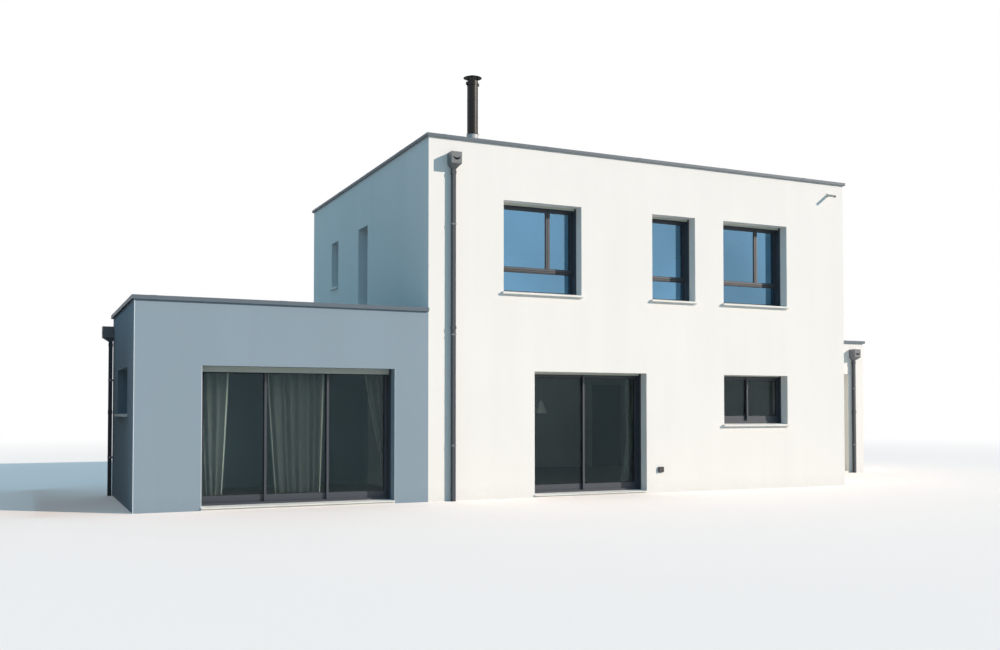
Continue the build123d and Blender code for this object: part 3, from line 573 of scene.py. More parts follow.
def turned(mesh, centre, profile, axis=Z, steps=32):
    """Spins a closed profile of (radius, height) points round an axis through a centre."""
    verts = [mesh.verts.new((radius, 0.0, height)) for radius, height in profile]
    loop = [mesh.edges.new(pair) for pair in zip(verts, verts[1:] + verts[:1])]
    bmesh.ops.spin(
        mesh,
        geom=verts + loop,
        axis=(0, 0, 1),
        cent=(0, 0, 0),
        steps=steps,
        angle=2 * math.pi,
        use_merge=True,
    )
    made = list(linked(next(vert for vert in verts if vert.is_valid)))
    turn = {X: Matrix.Rotation(math.pi / 2, 3, "Y"), Y: Matrix.Rotation(-math.pi / 2, 3, "X")}
    if axis in turn:
        bmesh.ops.rotate(mesh, cent=(0, 0, 0), matrix=turn[axis], verts=made)
    bmesh.ops.translate(mesh, vec=centre, verts=made)
    faces = list({face for vert in made for face in vert.link_faces})
    bmesh.ops.recalc_face_normals(mesh, faces=faces)
    return made


def rod(radius, half):
    """The profile of a solid rod that reaches equally far both ways."""
    return (0.0, -half), (radius, -half), (radius, half), (0.0, half)


def new_object(mesh, name, material):
    """Makes an object of a mesh, with its place in the mesh and one material."""
    data = bpy.data.meshes.new(name)
    mesh.to_mesh(data)
    mesh.free()
    data.materials.append(material)
    item = bpy.data.objects.new(name, data)
    bpy.context.scene.collection.objects.link(item)
    return item


def keep_piece(mesh, name, finish, body=HOUSE, smooth=False):
    """Makes an object of a mesh, with its finish, and lets it ride on a body."""
    bmesh.ops.remove_doubles(mesh, verts=mesh.verts, dist=1e-6)
    bmesh.ops.recalc_face_normals(mesh, faces=mesh.faces)
    for face in mesh.faces:
        face.smooth = smooth
    piece = new_object(mesh, name, finishes[finish])
    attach(piece, body)
    return piece


def pane_gaskets(mesh, panes, width):
    """Adds a rubber ring on both faces of each pane."""
    proud = 0.0025
    for low, high in panes:
        thin = thin_axis(low, high)
        for place in (low[thin] - proud, high[thin]):
            ring_low, ring_high = low.copy(), high.copy()
            ring_low[thin], ring_high[thin] = place, place + proud
            ring(mesh, ring_low, ring_high, width)


# Walls, floors and roofs


class HOUSE_OT_walls(bpy.types.Operator):
    """Render the main block, wing and garage walls; bead the wing's jambs and corner, partly as
    painted highlight
    """

    bl_idname = "house.walls"
    bl_label = "Walls"

    def execute(self, context):
        paint(nodes_like("wall"))
        face = context.scene.house_sizes.corner_bead
        front = MAIN_LOW.y
        left_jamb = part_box("wing_front_wall_left")[1].x
        right_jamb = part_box("wing_front_wall_right")[0].x
        over_low, over_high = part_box("wing_front_wall_over")
        corner = over_low.x
        under_coping = 0.06
        top = over_high.z - under_coping
        proud = 0.0012
        skin = (front - proud, front)
        mesh = bmesh.new()
        # White beads: real corner beads that also paint a highlight along the edges; the right
        # jamb's is half as wide.
        for along, through, head in (
            ((left_jamb - face, left_jamb), skin, over_low.z),
            ((right_jamb, right_jamb + 0.5 * face), skin, over_low.z),
            ((corner - proud, corner + face), skin, top),
            ((corner - proud, corner), (front, front + face), top),
        ):
            wall_bar(mesh, X, along, through, (0.0, head))
        keep_piece(mesh, "corner_beads_painted_highlight", "bead")
        return {"FINISHED"}


# The felt's thickness, and the width and height of the fillets under it.
FELT = 0.004
FILLET = 0.06


def fillet(mesh, box, axis, edge):
    """Adds a sloping fillet along a parapet: a bar whose top is pressed down at its inner edge."""
    low, high = box
    for vert in bar(mesh, low, high):
        if abs(vert.co[axis] - edge) < 1e-6 and vert.co.z > (low.z + high.z) / 2:
            vert.co.z = low.z + FELT


def dress_roof(mesh, low, high, parapet, roll, lap):
    """Adds upstands, fillets and lapped rolls of felt to a roof between parapets."""
    top = parapet - 0.03
    level = high.z
    crest = (level, level + FILLET)
    for axis, start in ((X, 0.0), (Y, FELT)):
        across = 1 - axis
        for wall, inward in ((low[axis], 1), (high[axis], -1)):
            skin = wall + inward * FELT
            along = (low[across] + start, high[across] - start)
            wall_bar(mesh, across, along, (wall, skin), (level, top))
            along = (low[across] + FELT, high[across] - FELT)
            edge = skin + inward * FILLET
            fillet(mesh, corners(across, along, (skin, edge), crest), axis, edge)
    place = low.x + FELT + roll
    while place < high.x - FELT - lap:
        start = (place - lap, low.y + FELT + FILLET, level)
        bar(mesh, start, (place, high.y - FELT - FILLET, level + FELT), 0.0015)
        place += roll - lap


class HOUSE_OT_floors_and_roofs(bpy.types.Operator):
    """Finish the floors and felt the flat roofs, with their upstands, fillets and outlets"""

    bl_idname = "house.floors_and_roofs"
    bl_label = "Floors and roofs"

    def execute(self, context):
        sizes = context.scene.house_sizes
        paint(nodes_like("slabs", "floor", "roof"))
        low_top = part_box("wing_front_wall_over")[1].z
        roofs = [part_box("main_roof"), *solid_boxes("low_roofs")]
        felt = bmesh.new()
        for index, (low, high) in enumerate(roofs):
            parapet = low_top if index else MAIN_HIGH.z
            dress_roof(felt, low, high, parapet, sizes.felt_roll, sizes.felt_lap)
        keep_piece(felt, "roof_felt_trims", "roof_membrane")

        half, tall, flange = 0.075, 0.07, 0.035
        clear = 0.2
        flanges = bmesh.new()
        throats = bmesh.new()
        for hopper in solid_boxes("hopper_heads"):
            centre = middle_of(hopper)
            low, high = min(roofs, key=lambda box: abs(middle_of(box).x - centre.x))
            across = Y if hopper[1].x < WING_SIDE else X
            place = centre[across]
            if across == Y:
                place = min(max(place, low.y + clear), high.y - clear)
            face = low[1 - across] + FELT
            foot = high.z + 0.01
            outer = about(place, half + flange)
            plate = corners(across, outer, (face, face + 0.003), (foot, foot + tall + flange))
            ring(flanges, *plate, flange)
            # The throat is a thin black patch on the upstand: painted shade of the outlet's hole.
            hole = about(place, half)
            wall_bar(throats, across, hole, (face, face + 0.001), (foot, foot + tall))
        keep_piece(flanges, "roof_outlet_flanges", "lead_grey")
        keep_piece(throats, "roof_outlet_painted_shade", "gasket")
        return {"FINISHED"}


class HOUSE_OT_copings(bpy.types.Operator):
    """Finish the folded copings of the parapets"""

    bl_idname = "house.copings"
    bl_label = "Copings"

    def execute(self, context):
        paint(nodes_like("copings"))
        return {"FINISHED"}


# Windows and doors

SASH_FACE = 0.043
SASH_SETBACK = 0.05
LOW_LIGHT_FACE = 0.015
# Seams are dark strips, partly painted shade of the gaps between sashes.
SEAM = 0.012
SEAM_DEPTH = 0.001
# How far a seam stops short of the sash's edge.
SEAM_END = 0.002
# Two panes are side by side when their feet differ in height by less than this.
LEVEL = 0.02
# The widest mullion and transom that stand between two panes.
WIDEST_MULLION = 0.2
WIDEST_TRANSOM = 0.3
# How far a window handle stands from the frame's side.
HANDLE_INSET = 0.045
# Furniture: how far each of its bars reaches along the face that it stands on, out from it
# and upwards, and how far its edges are rounded.
DRAIN_CAP = ((about(0.0, 0.016), (0.0, 0.004), (0.009, 0.019), 0.0015),)
# Rose, neck and lever.
WINDOW_HANDLE = (
    (about(0.0, 0.014), (0.0, 0.008), about(0.0, 0.035), 0.003),
    (about(0.0, 0.009), (0.008, 0.032), about(0.0, 0.009), 0.003),
    (about(0.0, 0.009), (0.024, 0.038), (-0.11, 0.012), 0.004),
)
# Two posts and a bow.
LEAF_HANDLE = (
    (about(0.0, 0.007), (0.0, 0.034), about(-0.09, 0.009), 0.002),
    (about(0.0, 0.007), (0.0, 0.034), about(0.09, 0.009), 0.002),
    (about(0.0, 0.009), (0.028, 0.042), about(0.0, 0.125), 0.004),
)
# Plate, neck and lever.
ENTRANCE_LEVER = (
    (about(0.0, 0.016), (0.0, 0.006), about(0.0, 0.12), 0.002),
    (about(0.0, 0.008), (0.006, 0.05), about(0.05, 0.008), 0.003),
    ((-0.008, 0.13), (0.04, 0.054), about(0.05, 0.009), 0.004),
)
# Two posts and a grip.
GARAGE_PULL = (
    (about(-0.07, 0.008), (0.0, 0.035), about(0.0, 0.008), 0.002),
    (about(0.07, 0.008), (0.0, 0.035), about(0.0, 0.008), 0.002),
    (about(0.0, 0.09), (0.03, 0.044), about(0.0, 0.01), 0.004),
)
BRACKET_SCREW = ((about(0.0, 0.008), (0.02, 0.036), about(0.0, 0.008), 0.002),)


class HOUSE_OT_windows(bpy.types.Operator):
    """Finish the windows, with their gaskets, seams, drain caps and handles"""

    bl_idname = "house.windows"
    bl_label = "Windows"

    def execute(self, context):
        paint(nodes_like("window_frames", "window_glass", "window_sills"))
        paint(["ground_window_glass"], "clear_glass")
        panes = solid_boxes("window_glass")
        gaskets = bmesh.new()
        lights = panes + solid_boxes("ground_window_glass")
        pane_gaskets(gaskets, lights, context.scene.house_sizes.gasket)
        keep_piece(gaskets, "window_gaskets", "gasket")

        caps, handles, seams = bmesh.new(), bmesh.new(), bmesh.new()
        for name in ("front_window_frames", "rear_window_frames", "side_window_frames"):
            across = Y if name.startswith("side") else X
            through = 1 - across
            for low, high in solid_boxes(name):
                middle = middle_of((low, high))
                out = -1 if middle[through] < self.inside_of(across, middle[through]) else 1
                inner, outer = (low, high) if out > 0 else (high, low)
                foot = Vector((0.0, 0.0, low.z))
                foot[through] = outer[through]
                for share in (0.2, 0.8):
                    foot[across] = low[across] + share * (high[across] - low[across])
                    furniture(caps, foot, DRAIN_CAP, across, out)
                spindle = middle.copy()
                spindle[across], spindle[through] = low[across] + HANDLE_INSET, inner[through]
                furniture(handles, spindle, WINDOW_HANDLE, across, -out)
                own = [pane for pane in panes if self.holds(across, low, high, pane[0])]
                # Dark seams, partly painted shade of the gaps between sashes.
                face = outer[through] - out * SASH_SETBACK
                self.seams(seams, across, own, (face, face + out * SEAM_DEPTH))
        keep_piece(caps, "frame_drain_caps", "anthracite_aluminium")
        keep_piece(handles, "window_handles", "steel")
        keep_piece(seams, "sash_seams_painted_shade", "gasket")
        return {"FINISHED"}

    def inside_of(self, across, depth):
        """The middle of the block that a window belongs to, through its wall."""
        if across == X:
            return middle_of(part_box("main_roof")).y
        return MAIN_LOW.x if depth < MAIN_LOW.x else (MAIN_LOW.x + MAIN_HIGH.x) / 2

    def holds(self, across, low, high, corner):
        """Whether a pane's lower corner is inside a frame."""
        level = across == Y or low.x < corner.x < high.x
        return level and low.y - 0.01 < corner.y < high.y + 0.01 and low.z < corner.z < high.z

    def seams(self, mesh, across, panes, skin):
        """Dark joints where two sashes meet, and above and below the transom, partly painted shade
        of the gaps.
        """
        reach = SASH_FACE - SEAM_END
        for low, high in panes:
            for other_low, other_high in panes:
                gap = other_low[across] - high[across]
                if abs(other_low.z - low.z) < LEVEL and 0.0 < gap < WIDEST_MULLION:
                    along = about(high[across] + gap / 2, SEAM / 2)
                    wall_bar(mesh, across, along, skin, (low.z - reach, high.z + reach))
                meets = other_low[across] < high[across] and other_high[across] > low[across]
                if meets and 0.0 < other_low.z - high.z < WIDEST_TRANSOM:
                    along = (other_low[across] - reach, other_high[across] + reach)
                    for height in (high.z + LOW_LIGHT_FACE, other_low.z - SASH_FACE):
                        wall_bar(mesh, across, along, skin, about(height, SEAM / 2))


class HOUSE_OT_shutters(bpy.types.Operator):
    """Finish the shutter guides and end bars, with their brush lips"""

    bl_idname = "house.shutters"
    bl_label = "Roller shutters"

    def execute(self, context):
        paint(nodes_like("shutter"))
        drop, short = 0.006, 0.03
        lips = bmesh.new()
        for low, high in solid_boxes("shutter_end_bars"):
            across = X if high.x - low.x > high.y - low.y else Y
            along = (low[across] + short, high[across] - short)
            through = (low[1 - across], high[1 - across])
            wall_bar(lips, across, along, through, (low.z - drop, low.z), 0.0015)
        keep_piece(lips, "shutter_lips", "gasket")
        return {"FINISHED"}


# Height of a sliding leaf's pull above its foot.
PULL_HEIGHT = 1.0057


class HOUSE_OT_sliding_doors(bpy.types.Operator):
    """Finish the sliding doors, with each leaf's gaskets, pulls, seals and handles"""

    bl_idname = "house.sliding_doors"
    bl_label = "Sliding doors"

    def execute(self, context):
        paint(nodes_like("door_frame", "_leaf", "door_thresholds"))
        paint([prefix + "_glass" for prefix in LEAVES.values()], "clear_glass")
        width = context.scene.house_sizes.gasket
        for body, prefix in LEAVES.items():
            low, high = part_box(prefix + "_leaf")
            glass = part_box(prefix + "_glass")
            mesh = bmesh.new()
            pane_gaskets(mesh, [glass], width)
            keep_piece(mesh, body + "_gaskets", "gasket", body)
            left_stile = (low.x + glass[0].x) / 2
            if "left" not in body:
                self.pile(body, left_stile, low, high)
            if body in OUTERMOST:
                self.pull(body, (glass[1].x + high.x) / 2, low)
            if body in INNERMOST:
                self.pull(body, left_stile, low)
                mesh = bmesh.new()
                furniture(mesh, (left_stile, high.y, low.z + PULL_HEIGHT), LEAF_HANDLE)
                keep_piece(mesh, body + "_handle", "steel", body)
        return {"FINISHED"}

    def pile(self, body, middle, low, high):
        """A brush pile down the inner face of the meeting stile."""
        short, half, proud = 0.04, 0.006, 0.007
        mesh = bmesh.new()
        height = (low.z + short, high.z - short)
        wall_bar(mesh, X, about(middle, half), (high.y, high.y + proud), height, 0.002)
        keep_piece(mesh, body + "_brush", "gasket", body)

    def pull(self, body, middle, low):
        """A dark cup in the pull's recess, with its rim on the stile."""
        height = low.z + PULL_HEIGHT
        half_wide, half_tall, rim = 0.013, 0.095, 0.003
        cup = (low.y + 0.004, low.y + 0.005)
        skin = (low.y - 0.0012, low.y)
        mesh = bmesh.new()
        wall_bar(mesh, X, about(middle, half_wide), cup, about(height, half_tall))
        across, upwards = about(middle, half_wide + rim), about(height, half_tall + rim)
        ring(mesh, *corners(X, across, skin, upwards), 0.0035)
        keep_piece(mesh, body + "_pull", "anthracite_aluminium", body)


class HOUSE_OT_fixed_doors(bpy.types.Operator):
    """Finish the entrance door and the garage door, with their furniture and seals"""

    bl_idname = "house.fixed_doors"
    bl_label = "Entrance and garage doors"

    def execute(self, context):
        paint(["entrance_door", "garage_door"])
        self.dress_entrance(*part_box("entrance_door"))
        self.dress_garage(*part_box("garage_door"))
        return {"FINISHED"}

    def dress_entrance(self, low, high):
        """A lever and a lock, three hinges, and black strips in the panel that paint the shade of
        level grooves.
        """
        frame_face, setback, backset, lever_height = 0.06, 0.05, 0.105, 1.02
        panel = high.y - setback
        lever = Vector((low.x + backset, panel, low.z + lever_height))
        mesh = bmesh.new()
        furniture(mesh, lever, ENTRANCE_LEVER)
        lock = ((0.0, 0.0), (0.009, 0.0), (0.009, 0.0021), (0.0054, 0.006), (0.0, 0.006))
        turned(mesh, lever + Vector((0.0, 0.006, -0.07)), lock, Y, steps=16)
        keep_piece(mesh, "entrance_lever", "steel")

        hinges = bmesh.new()
        radius, half, end = 0.007, 0.045, 0.25
        knuckle = rod(radius, half)
        pin = (high.x - 0.058, panel + radius)
        for height in (low.z + end, (low.z + high.z) / 2, high.z - end):
            turned(hinges, (*pin, height), knuckle, steps=16)
        keep_piece(hinges, "entrance_hinges", "steel")

        # Black strips stand for the grooves: painted shade of level grooves in the panel.
        grooves = bmesh.new()
        boards, half = 6, 0.004
        along = (low.x + 3 * frame_face, high.x - 2 * frame_face)
        skin = (panel - 0.001, panel + 0.0008)
        step = (high.z - low.z - 2 * frame_face) / boards
        for index in range(1, boards):
            height = about(low.z + frame_face + index * step, half)
            wall_bar(grooves, X, along, skin, height)
        keep_piece(grooves, "entrance_groove_painted_shade", "gasket")

    def dress_garage(self, low, high):
        """Seals round the door, three ribs in each of its four sections, and a pull."""
        seal, foot_seal, rounding = 0.012, 0.028, 0.0015
        face = low.y - 0.006
        seals = bmesh.new()
        bar(seals, (low.x, low.y - 0.004, low.z), (high.x, low.y, low.z + foot_seal), rounding)
        for x in (low.x, high.x - seal):
            bar(seals, (x, face, low.z), (x + seal, low.y, high.z), rounding)
        bar(seals, (low.x, face, high.z - seal), (high.x, low.y, high.z), rounding)
        keep_piece(seals, "garage_door_seals", "gasket")

        ribs = bmesh.new()
        sections, short, half, proud = 4, 0.02, 0.006, 0.0025
        section = (high.z - low.z) / sections
        along = (low.x + short, high.x - short)
        for index in range(sections):
            for share in (0.27, 0.5, 0.73):
                height = about(low.z + (index + share) * section, half)
                wall_bar(ribs, X, along, (low.y - proud, low.y), height, 0.0012)
        keep_piece(ribs, "garage_door_ribs", "garage_door_steel")

        pull = bmesh.new()
        grip = ((low.x + high.x) / 2, low.y, low.z + 0.36)
        furniture(pull, grip, GARAGE_PULL, out=-1)
        keep_piece(pull, "garage_door_pull", "steel")


# Rainwater goods, flue and fittings


class HOUSE_OT_rainwater(bpy.types.Operator):
    """Finish the hopper heads, downpipes and spout, with their rims, sleeves and screws"""

    bl_idname = "house.rainwater"
    bl_label = "Rainwater goods"

    def execute(self, context):
        paint(["hopper_heads", "pipe_brackets", "overflow_spout"])
        paint(["downpipes"], "downpipe_steel")
        rims = bmesh.new()
        inset, lip, rim = 0.0005, 0.004, 0.008
        for low, high in solid_boxes("hopper_heads"):
            start = (low.x + inset, low.y + inset, high.z - 0.001)
            ring(rims, start, (high.x - inset, high.y - inset, high.z + lip), rim)
        keep_piece(rims, "hopper_rims", "rainwater_metal")

        sleeves = bmesh.new()
        pipes = solid_boxes("downpipes")
        proud, half, sheet = 0.0035, 0.03, 0.004
        below_top, above_middle = 0.06, 0.12
        for low, high in pipes:
            for z in (high.z - below_top, (low.z + high.z) / 2 + above_middle):
                start = (low.x - proud, low.y - proud, z - half)
                ring(sleeves, start, (high.x + proud, high.y + proud, z + half), sheet)
        keep_piece(sleeves, "pipe_sleeves", "downpipe_steel")

        screws = bmesh.new()
        for low, high in solid_boxes("pipe_brackets"):
            pipe = min(pipes, key=lambda box: (box[0] - low).xy.length)
            across = Y if pipe[1].x < WING_SIDE else X
            for side in pipe:
                head = pipe[0].copy()
                head[across], head.z = side[across], (low.z + high.z) / 2
                furniture(screws, head, BRACKET_SCREW, across)
        keep_piece(screws, "bracket_screws", "steel")
        self.slope_spout()
        return {"FINISHED"}

    def slope_spout(self):
        """A plastic tube that falls as the photograph shows, with a collar on the wall."""
        low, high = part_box("overflow_spout")
        radius = (high.x - low.x) / 2
        bore = radius - 0.004
        face = ((low.x + high.x) / 2, MAIN_LOW.y, (low.z + high.z) / 2)
        reach = MAIN_LOW.y - low.y
        buried, slope = 0.02, math.radians(17.0)
        tube = bmesh.new()
        profile = ((bore, buried), (radius, buried), (radius, -reach), (bore, -reach))
        made = turned(tube, face, profile, Y)
        bmesh.ops.rotate(tube, cent=face, matrix=Matrix.Rotation(slope, 3, "X"), verts=made)
        spout = keep_piece(tube, "sloping_spout", "spout_plastic")
        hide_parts("overflow_spout")

        collar = bmesh.new()
        # How far each point of the collar's section is from the tube and from the wall.
        section = ((0.0, 0.0), (0.016, 0.0), (0.014, 0.005), (0.004, 0.008), (0.0, 0.008))
        turned(collar, face, [(radius + wide, -proud) for wide, proud in section], Y)
        keep_piece(collar, "spout_collar", "spout_plastic")


class HOUSE_OT_flue(bpy.types.Operator):
    """Finish the flue, with its seams, storm collar and clamp bolts"""

    bl_idname = "house.flue"
    bl_label = "Flue"

    def execute(self, context):
        paint(["flue_pipe", "flue_cap", "flue_collar", "flue_clamp"])
        pipe_low, pipe_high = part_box("flue_pipe")
        base, sleeve_top = (corner.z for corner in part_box("flue_collar"))
        centre = Vector(((pipe_low.x + pipe_high.x) / 2, (pipe_low.y + pipe_high.y) / 2, 0.0))
        radius = (pipe_high.x - pipe_low.x) / 2
        inner, outer, half = radius - 0.001, radius + 0.0025, 0.006
        length = 0.33
        seams = bmesh.new()
        for z in (sleeve_top + length, sleeve_top + 2 * length):
            low, high = about(z, half)
            hoop = ((inner, low), (outer, low), (outer, high), (inner, high))
            turned(seams, centre, hoop, steps=48)
        # How far each point of the storm collar's section is from the pipe, and its height.
        section = ((-0.001, 0.0), (0.014, -0.012), (0.015, -0.009), (0.003, 0.004), (-0.001, 0.004))
        skirt = [(radius + wide, height) for wide, height in section]
        turned(seams, centre + Vector((0, 0, sleeve_top + 0.013)), skirt, steps=64)
        keep_piece(seams, "flue_seams", "flue_steel")

        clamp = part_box("flue_clamp")
        bolts = bmesh.new()
        edge, shank = 0.012, rod(0.005, 0.014)
        for x in (clamp[0].x + edge, clamp[1].x - edge):
            turned(bolts, (x, centre.y, middle_of(clamp).z), shank, Y, steps=6)
        keep_piece(bolts, "clamp_bolts", "steel")

        flange = bmesh.new()
        half, thick = 0.26, 0.005
        plate = corners(X, about(centre.x, half), about(centre.y, half), (base, base + thick))
        bar(flange, *plate, 0.002)
        keep_piece(flange, "flue_flashing_plate", "lead_grey")
        return {"FINISHED"}


class HOUSE_OT_fittings(bpy.types.Operator):
    """Finish the outdoor socket and the pendant lamp, with the lid, bulb and holder"""

    bl_idname = "house.fittings"
    bl_label = "Socket and lamp"

    def execute(self, context):
        paint(["outdoor_socket", "pendant_lamp"])
        low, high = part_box("outdoor_socket")
        lid = bmesh.new()
        side, foot, head = 0.014, 0.006, 0.016
        start = (low.x + side, low.y + 0.003, low.z + foot)
        bar(lid, start, (high.x - side, low.y + 0.012, high.z - head), 0.003)
        keep_piece(lid, "socket_lid", "socket_plastic")

        low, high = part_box("pendant_lamp")
        centre = Vector(((low.x + high.x) / 2, (low.y + high.y) / 2, low.z))
        holder = bmesh.new()
        neck = 0.15
        profile = ((0.0, neck), (0.02, neck), (0.022, 0.2), (0.016, 0.252), (0.0, 0.252))
        turned(holder, centre, profile, steps=24)
        keep_piece(holder, "lamp_holder", "socket_plastic")

        bulb = bmesh.new()
        radius, middle = 0.035, 0.075
        globe = [(0.0, middle - radius)]
        for index in range(1, 12):
            angle = math.pi * index / 14
            globe.append((radius * math.sin(angle), middle - radius * math.cos(angle)))
        globe += [(0.014, 0.125), (0.014, neck), (0.0, neck)]
        turned(bulb, centre, globe, steps=24)
        keep_piece(bulb, "lamp_bulb", "bulb", smooth=True)
        return {"FINISHED"}


# Curtains

CURTAIN_HEAD = 2.5297
CURTAIN_FOOT = 0.115
# Each curtain: its door, which side of the door's frame it is measured from, its folds, the
# node that it replaces, and its left and right edges at each height. A curtain with a height
# between its head and its foot is tied there.
CURTAINS = {
    "wing_curtain_left": (
        "wing", 0, 5, "wing_curtains",
        ((CURTAIN_HEAD, -0.25, 0.52), (CURTAIN_FOOT, 0.03, 0.40)),
    ),
    "wing_curtain_centre": (
        "wing", 0, 7, "wing_curtains",
        ((CURTAIN_HEAD, 1.14, 2.12), (CURTAIN_FOOT, 1.30, 2.05)),
    ),
    "wing_curtain_right": (
        "wing", 1, 5, "wing_curtains",
        ((CURTAIN_HEAD, -0.39, 0.26), (0.78, -0.06, 0.23), (CURTAIN_FOOT, 0.01, 0.20)),
    ),
    "main_curtain_right": (
        "main", 1, 5, "main_curtain",
        ((CURTAIN_HEAD, -0.12, 0.40), (1.08, -0.06, 0.10), (CURTAIN_FOOT, -0.23, 0.10)),
    ),
}
CURTAIN_FULLNESS = 1.4
CURTAIN_ROWS = 44
POINTS_A_FOLD = 16
HEM_COLUMNS = 3
MAX_FOLD = 0.038


def curtain_edges(edges, height):
    """The curtain's left and right edge at a height, between the heights that are given."""
    for (top, top_left, top_right), (foot, foot_left, foot_right) in zip(edges, edges[1:]):
        if height >= foot - 1e-6:
            share = ((top - height) / (top - foot)) ** 1.25
            left = top_left + (foot_left - top_left) * share
            return left, top_right + (foot_right - top_right) * share
    return edges[-1][1:]


def fold_line(span, depth, folds, phase):
    """Points across a gathered curtain, as (along, through), with folds of a given depth."""
    count = folds * POINTS_A_FOLD
    line = []
    for index in range(count + 1):
        share = index / count
        turn = 2 * math.pi * folds * share
        sway = 0.3 * math.sin(0.5 * turn + phase) + 0.25 * math.sin(0.29 * turn + 2.1)
        uneven = 0.8 + 0.28 * math.sin(0.37 * turn + 1.3) + 0.2 * math.sin(0.61 * turn + phase)
        line.append((span * share, depth * uneven * math.sin(turn + 2.0 * sway)))
    return line


def cloth_depth(span, width, folds, phase):
    """The fold depth at which cloth of a given width fills a span, found by halving."""
    low, high = 0.0, 0.09
    for _ in range(24):
        middle = (low + high) / 2
        line = fold_line(span, middle, folds, phase)
        if sum(math.dist(a, b) for a, b in zip(line, line[1:])) < width:
            low = middle
        else:
            high = middle
    return min((low + high) / 2, MAX_FOLD)


class HOUSE_OT_curtains(bpy.types.Operator):
    """Hang the gathered curtains from their ceiling rails, tied back as the photograph shows"""

    bl_idname = "house.curtains"
    bl_label = "Curtains"

    def execute(self, context):
        paint(["curtain_rails"])
        middle = middle_of(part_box("curtain_rails")).y
        ties = bmesh.new()
        for name, (door, side, folds, node, edges) in CURTAINS.items():
            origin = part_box(door + "_door_frame")[side].x
            width = CURTAIN_FULLNESS * (edges[0][2] - edges[0][1])
            mesh = self.cloth(width, folds, edges, origin, middle)
            cloth = keep_piece(mesh, name, "curtain_cloth", smooth=True)
            cloth.data.materials.append(finishes["curtain_hem"])
            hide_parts(node)
            for height, left, right in edges[1:-1]:
                self.tie(ties, (right - left) / 2, (origin + (left + right) / 2, middle, height))
        keep_piece(ties, "curtain_ties", "curtain_cloth")
        return {"FINISHED"}

    def cloth(self, width, folds, edges, origin, middle):
        """A grid laid in folds, row by row, with thicker hems at both edges."""
        mesh = bmesh.new()
        columns = folds * POINTS_A_FOLD
        bmesh.ops.create_grid(mesh, x_segments=columns, y_segments=CURTAIN_ROWS, size=0.5)
        verts = sorted(mesh.verts, key=lambda vert: (-round(vert.co.y, 5), vert.co.x))
        place = {vert: index % (columns + 1) for index, vert in enumerate(verts)}
        for face in mesh.faces:
            across = [place[vert] for vert in face.verts]
            hem = max(across) <= HEM_COLUMNS or min(across) >= columns - HEM_COLUMNS
            face.material_index = int(hem)
        for row in range(CURTAIN_ROWS + 1):
            share = row / CURTAIN_ROWS
            height = CURTAIN_HEAD + (CURTAIN_FOOT - CURTAIN_HEAD) * share
            left, right = curtain_edges(edges, height)
            phase = 0.7 * share**2
            depth = cloth_depth(right - left, width, folds, phase)
            line = fold_line(right - left, depth, folds, phase)
            for vert, (along, through) in zip(verts[row * (columns + 1) :], line):
                vert.co = (origin + left + along, middle + through, height)
        return mesh

    def tie(self, mesh, half, centre):
        """A flat band of cloth round a curtain."""
        slack, depth, inner = 0.006, 0.043, 0.97
        low, high = about(0.0, 0.015)
        profile = ((1.0, low), (1.0, high), (inner, high), (inner, low))
        made = turned(mesh, (0, 0, 0), profile, steps=48)
        bmesh.ops.scale(mesh, vec=(half + slack, depth, 1.0), verts=made)
        bmesh.ops.translate(mesh, vec=centre, verts=made)


# Stage


def studio_floor(half):
    """A pale matt floor that fades into the white backdrop far from the house."""
    mesh = bmesh.new()
    bmesh.ops.create_grid(mesh, x_segments=1, y_segments=1, size=half)
    material, tree, place = new_material("pale_studio_floor")
    rays = add(tree, "LightPath").outputs
    either = {0: rays["Is Camera Ray"], 1: rays["Is Glossy Ray"]}
    seen = add(tree, "Math", either, operation="MAXIMUM")
    pale = {"Factor": seen, "A": linear("B4B2AC"), "B": linear("FFF3EC")}
    surface = {
        "Base Color": add(tree, "Mix", pale, data_type="RGBA"),
        "Roughness": 0.9,
        "Emission Color": WHITE,
        "Emission Strength": add(tree, "MapRange", {"Value": seen, "To Min": 0.0, "To Max": 0.1}),
    }
    near = add(tree, "BsdfPrincipled", surface)
    flat = add(tree, "Mapping", {"Vector": place, "Scale": (1.0, 1.0, 0.0)})
    away = add(tree, "VectorMath", {0: flat}, operation="LENGTH")
    reach = {"Value": away, "From Min": 13.0, "From Max": 45.0}
    fade = add(tree, "MapRange", reach, interpolation_type="SMOOTHSTEP")
    share = add(tree, "Math", {0: fade, 1: seen}, operation="MULTIPLY")
    far = add(tree, "Emission", {"Color": WHITE, "Strength": 1.0})
    shader = add(tree, "MixShader", {0: share, 1: near, 2: far})
    add(tree, "OutputMaterial", {"Surface": shader})
    new_object(mesh, "studio_floor", material)


def dark_flag(low, high):
    """A black card out of shot that keeps the fill light off one side of the house."""
    mesh = bmesh.new()
    bar(mesh, low, high)
    material, tree, place = new_material("black_flag_cloth")
    weave = add(tree, "TexNoise", {"Vector": place, "Scale": 60.0})
    woven = {"Factor": weave, "A": linear("0A0A0A"), "B": linear("161616")}
    tone = add(tree, "Mix", woven, data_type="RGBA")
    finish_material(material, {"Base Color": tone, "Roughness": 0.95})
    flag = new_object(mesh, "studio_flag", material)
    flag.visible_camera = False
    flag.visible_glossy = False
    flag.visible_transmission = False
    flag.visible_shadow = False


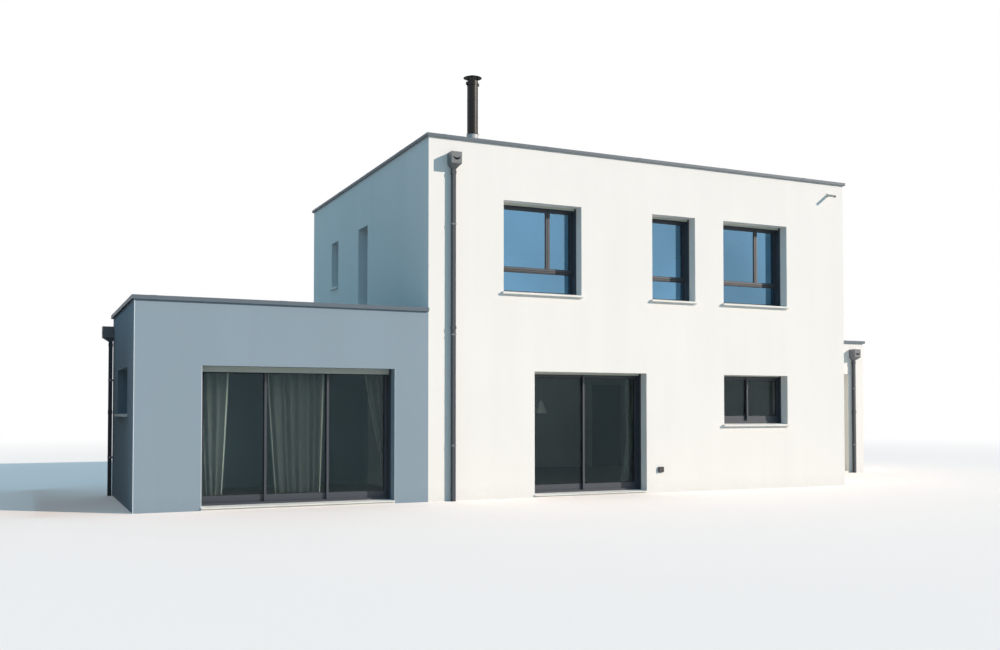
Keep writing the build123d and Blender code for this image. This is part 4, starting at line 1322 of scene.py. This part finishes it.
def studio_world(fill):
    """An even cool fill on the object, and plain white for the camera and in reflections."""
    world = bpy.data.worlds.new("studio")
    bpy.context.scene.world = world
    world.use_nodes = True
    tree = world.node_tree
    tree.nodes.clear()
    rays = add(tree, "LightPath").outputs
    seen = rays["Is Camera Ray"]
    for name in ("Is Glossy Ray", "Is Transmission Ray"):
        seen = add(tree, "Math", {0: seen, 1: rays[name]}, operation="MAXIMUM")
    colour = add(tree, "Mix", {"Factor": seen, "A": fill, "B": WHITE}, data_type="RGBA")
    background = add(tree, "Background", {"Color": colour, "Strength": 1.0})
    add(tree, "OutputWorld", {"Surface": background})


class HOUSE_OT_stage(bpy.types.Operator):
    """Set the pale floor, the studio light and the camera"""

    bl_idname = "house.stage"
    bl_label = "Stage"

    def execute(self, context):
        scene = context.scene
        stage = scene.house_stage
        studio_floor(90.0)
        # The card stands 1.3 m to the left of the wing, along its side wall.
        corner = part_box("wing_left_wall")[0]
        card = (corner.x - 1.35, corner.y - 0.5, 0.05)
        dark_flag(card, (corner.x - 1.3, corner.y + 5.4, 3.5))
        studio_world(stage.fill_colour)

        lamp = bpy.data.lights.new("key_light", "SUN")
        lamp.energy = stage.sun_strength
        lamp.color = stage.sun_colour
        sun_degrees = 0.53
        lamp.angle = math.radians(sun_degrees)
        key = bpy.data.objects.new("key_light", lamp)
        key.rotation_euler = Vector(stage.travel).to_track_quat("-Z", "Y").to_euler()
        scene.collection.objects.link(key)

        lens = bpy.data.cameras.new("camera")
        lens.lens = stage.lens
        lens.shift_y = stage.camera_shift
        lens.clip_end = 400.0
        camera = bpy.data.objects.new("camera", lens)
        corner = Vector((MAIN_LOW.x, MAIN_LOW.y, 0.0))
        camera.location = corner + Vector(stage.camera_place)
        camera.rotation_euler = (math.pi / 2 + stage.camera_pitch, 0.0, -stage.camera_yaw)
        scene.collection.objects.link(camera)
        scene.camera = camera
        scene.view_settings.view_transform = "Standard"
        return {"FINISHED"}


class HOUSE_PT_panel(bpy.types.Panel):
    """Lists the steps that dress the house"""

    bl_label = "Detached House"
    bl_idname = "HOUSE_PT_panel"
    bl_space_type = "VIEW_3D"
    bl_region_type = "UI"
    bl_category = "House"

    def draw(self, context):
        scene = context.scene
        for item in OPERATORS:
            self.layout.operator(item.bl_idname)
        for group in (scene.house_colours, scene.house_sizes, scene.house_stage):
            for key in group.bl_rna.properties.keys():
                if key not in ("rna_type", "name"):
                    self.layout.prop(group, key)


OPERATORS = (
    HOUSE_OT_stage,
    HOUSE_OT_walls,
    HOUSE_OT_floors_and_roofs,
    HOUSE_OT_copings,
    HOUSE_OT_windows,
    HOUSE_OT_shutters,
    HOUSE_OT_sliding_doors,
    HOUSE_OT_fixed_doors,
    HOUSE_OT_rainwater,
    HOUSE_OT_flue,
    HOUSE_OT_fittings,
    HOUSE_OT_curtains,
)
CLASSES = (HouseColours, HouseSizes, StageSettings, *OPERATORS, HOUSE_PT_panel)


def register():
    for item in CLASSES:
        bpy.utils.register_class(item)
    bpy.types.Scene.house_colours = PointerProperty(type=HouseColours)
    bpy.types.Scene.house_sizes = PointerProperty(type=HouseSizes)
    bpy.types.Scene.house_stage = PointerProperty(type=StageSettings)


def unregister():
    del bpy.types.Scene.house_stage
    del bpy.types.Scene.house_sizes
    del bpy.types.Scene.house_colours
    for item in reversed(CLASSES):
        bpy.utils.unregister_class(item)


def main():
    """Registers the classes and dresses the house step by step."""
    register()
    finishes.update(make_finishes())
    bpy.ops.house.stage()
    bpy.ops.house.walls()
    bpy.ops.house.floors_and_roofs()
    bpy.ops.house.copings()
    bpy.ops.house.windows()
    bpy.ops.house.shutters()
    bpy.ops.house.sliding_doors()
    bpy.ops.house.fixed_doors()
    bpy.ops.house.rainwater()
    bpy.ops.house.flue()
    bpy.ops.house.fittings()
    bpy.ops.house.curtains()


if __name__ == "__main__":
    main()
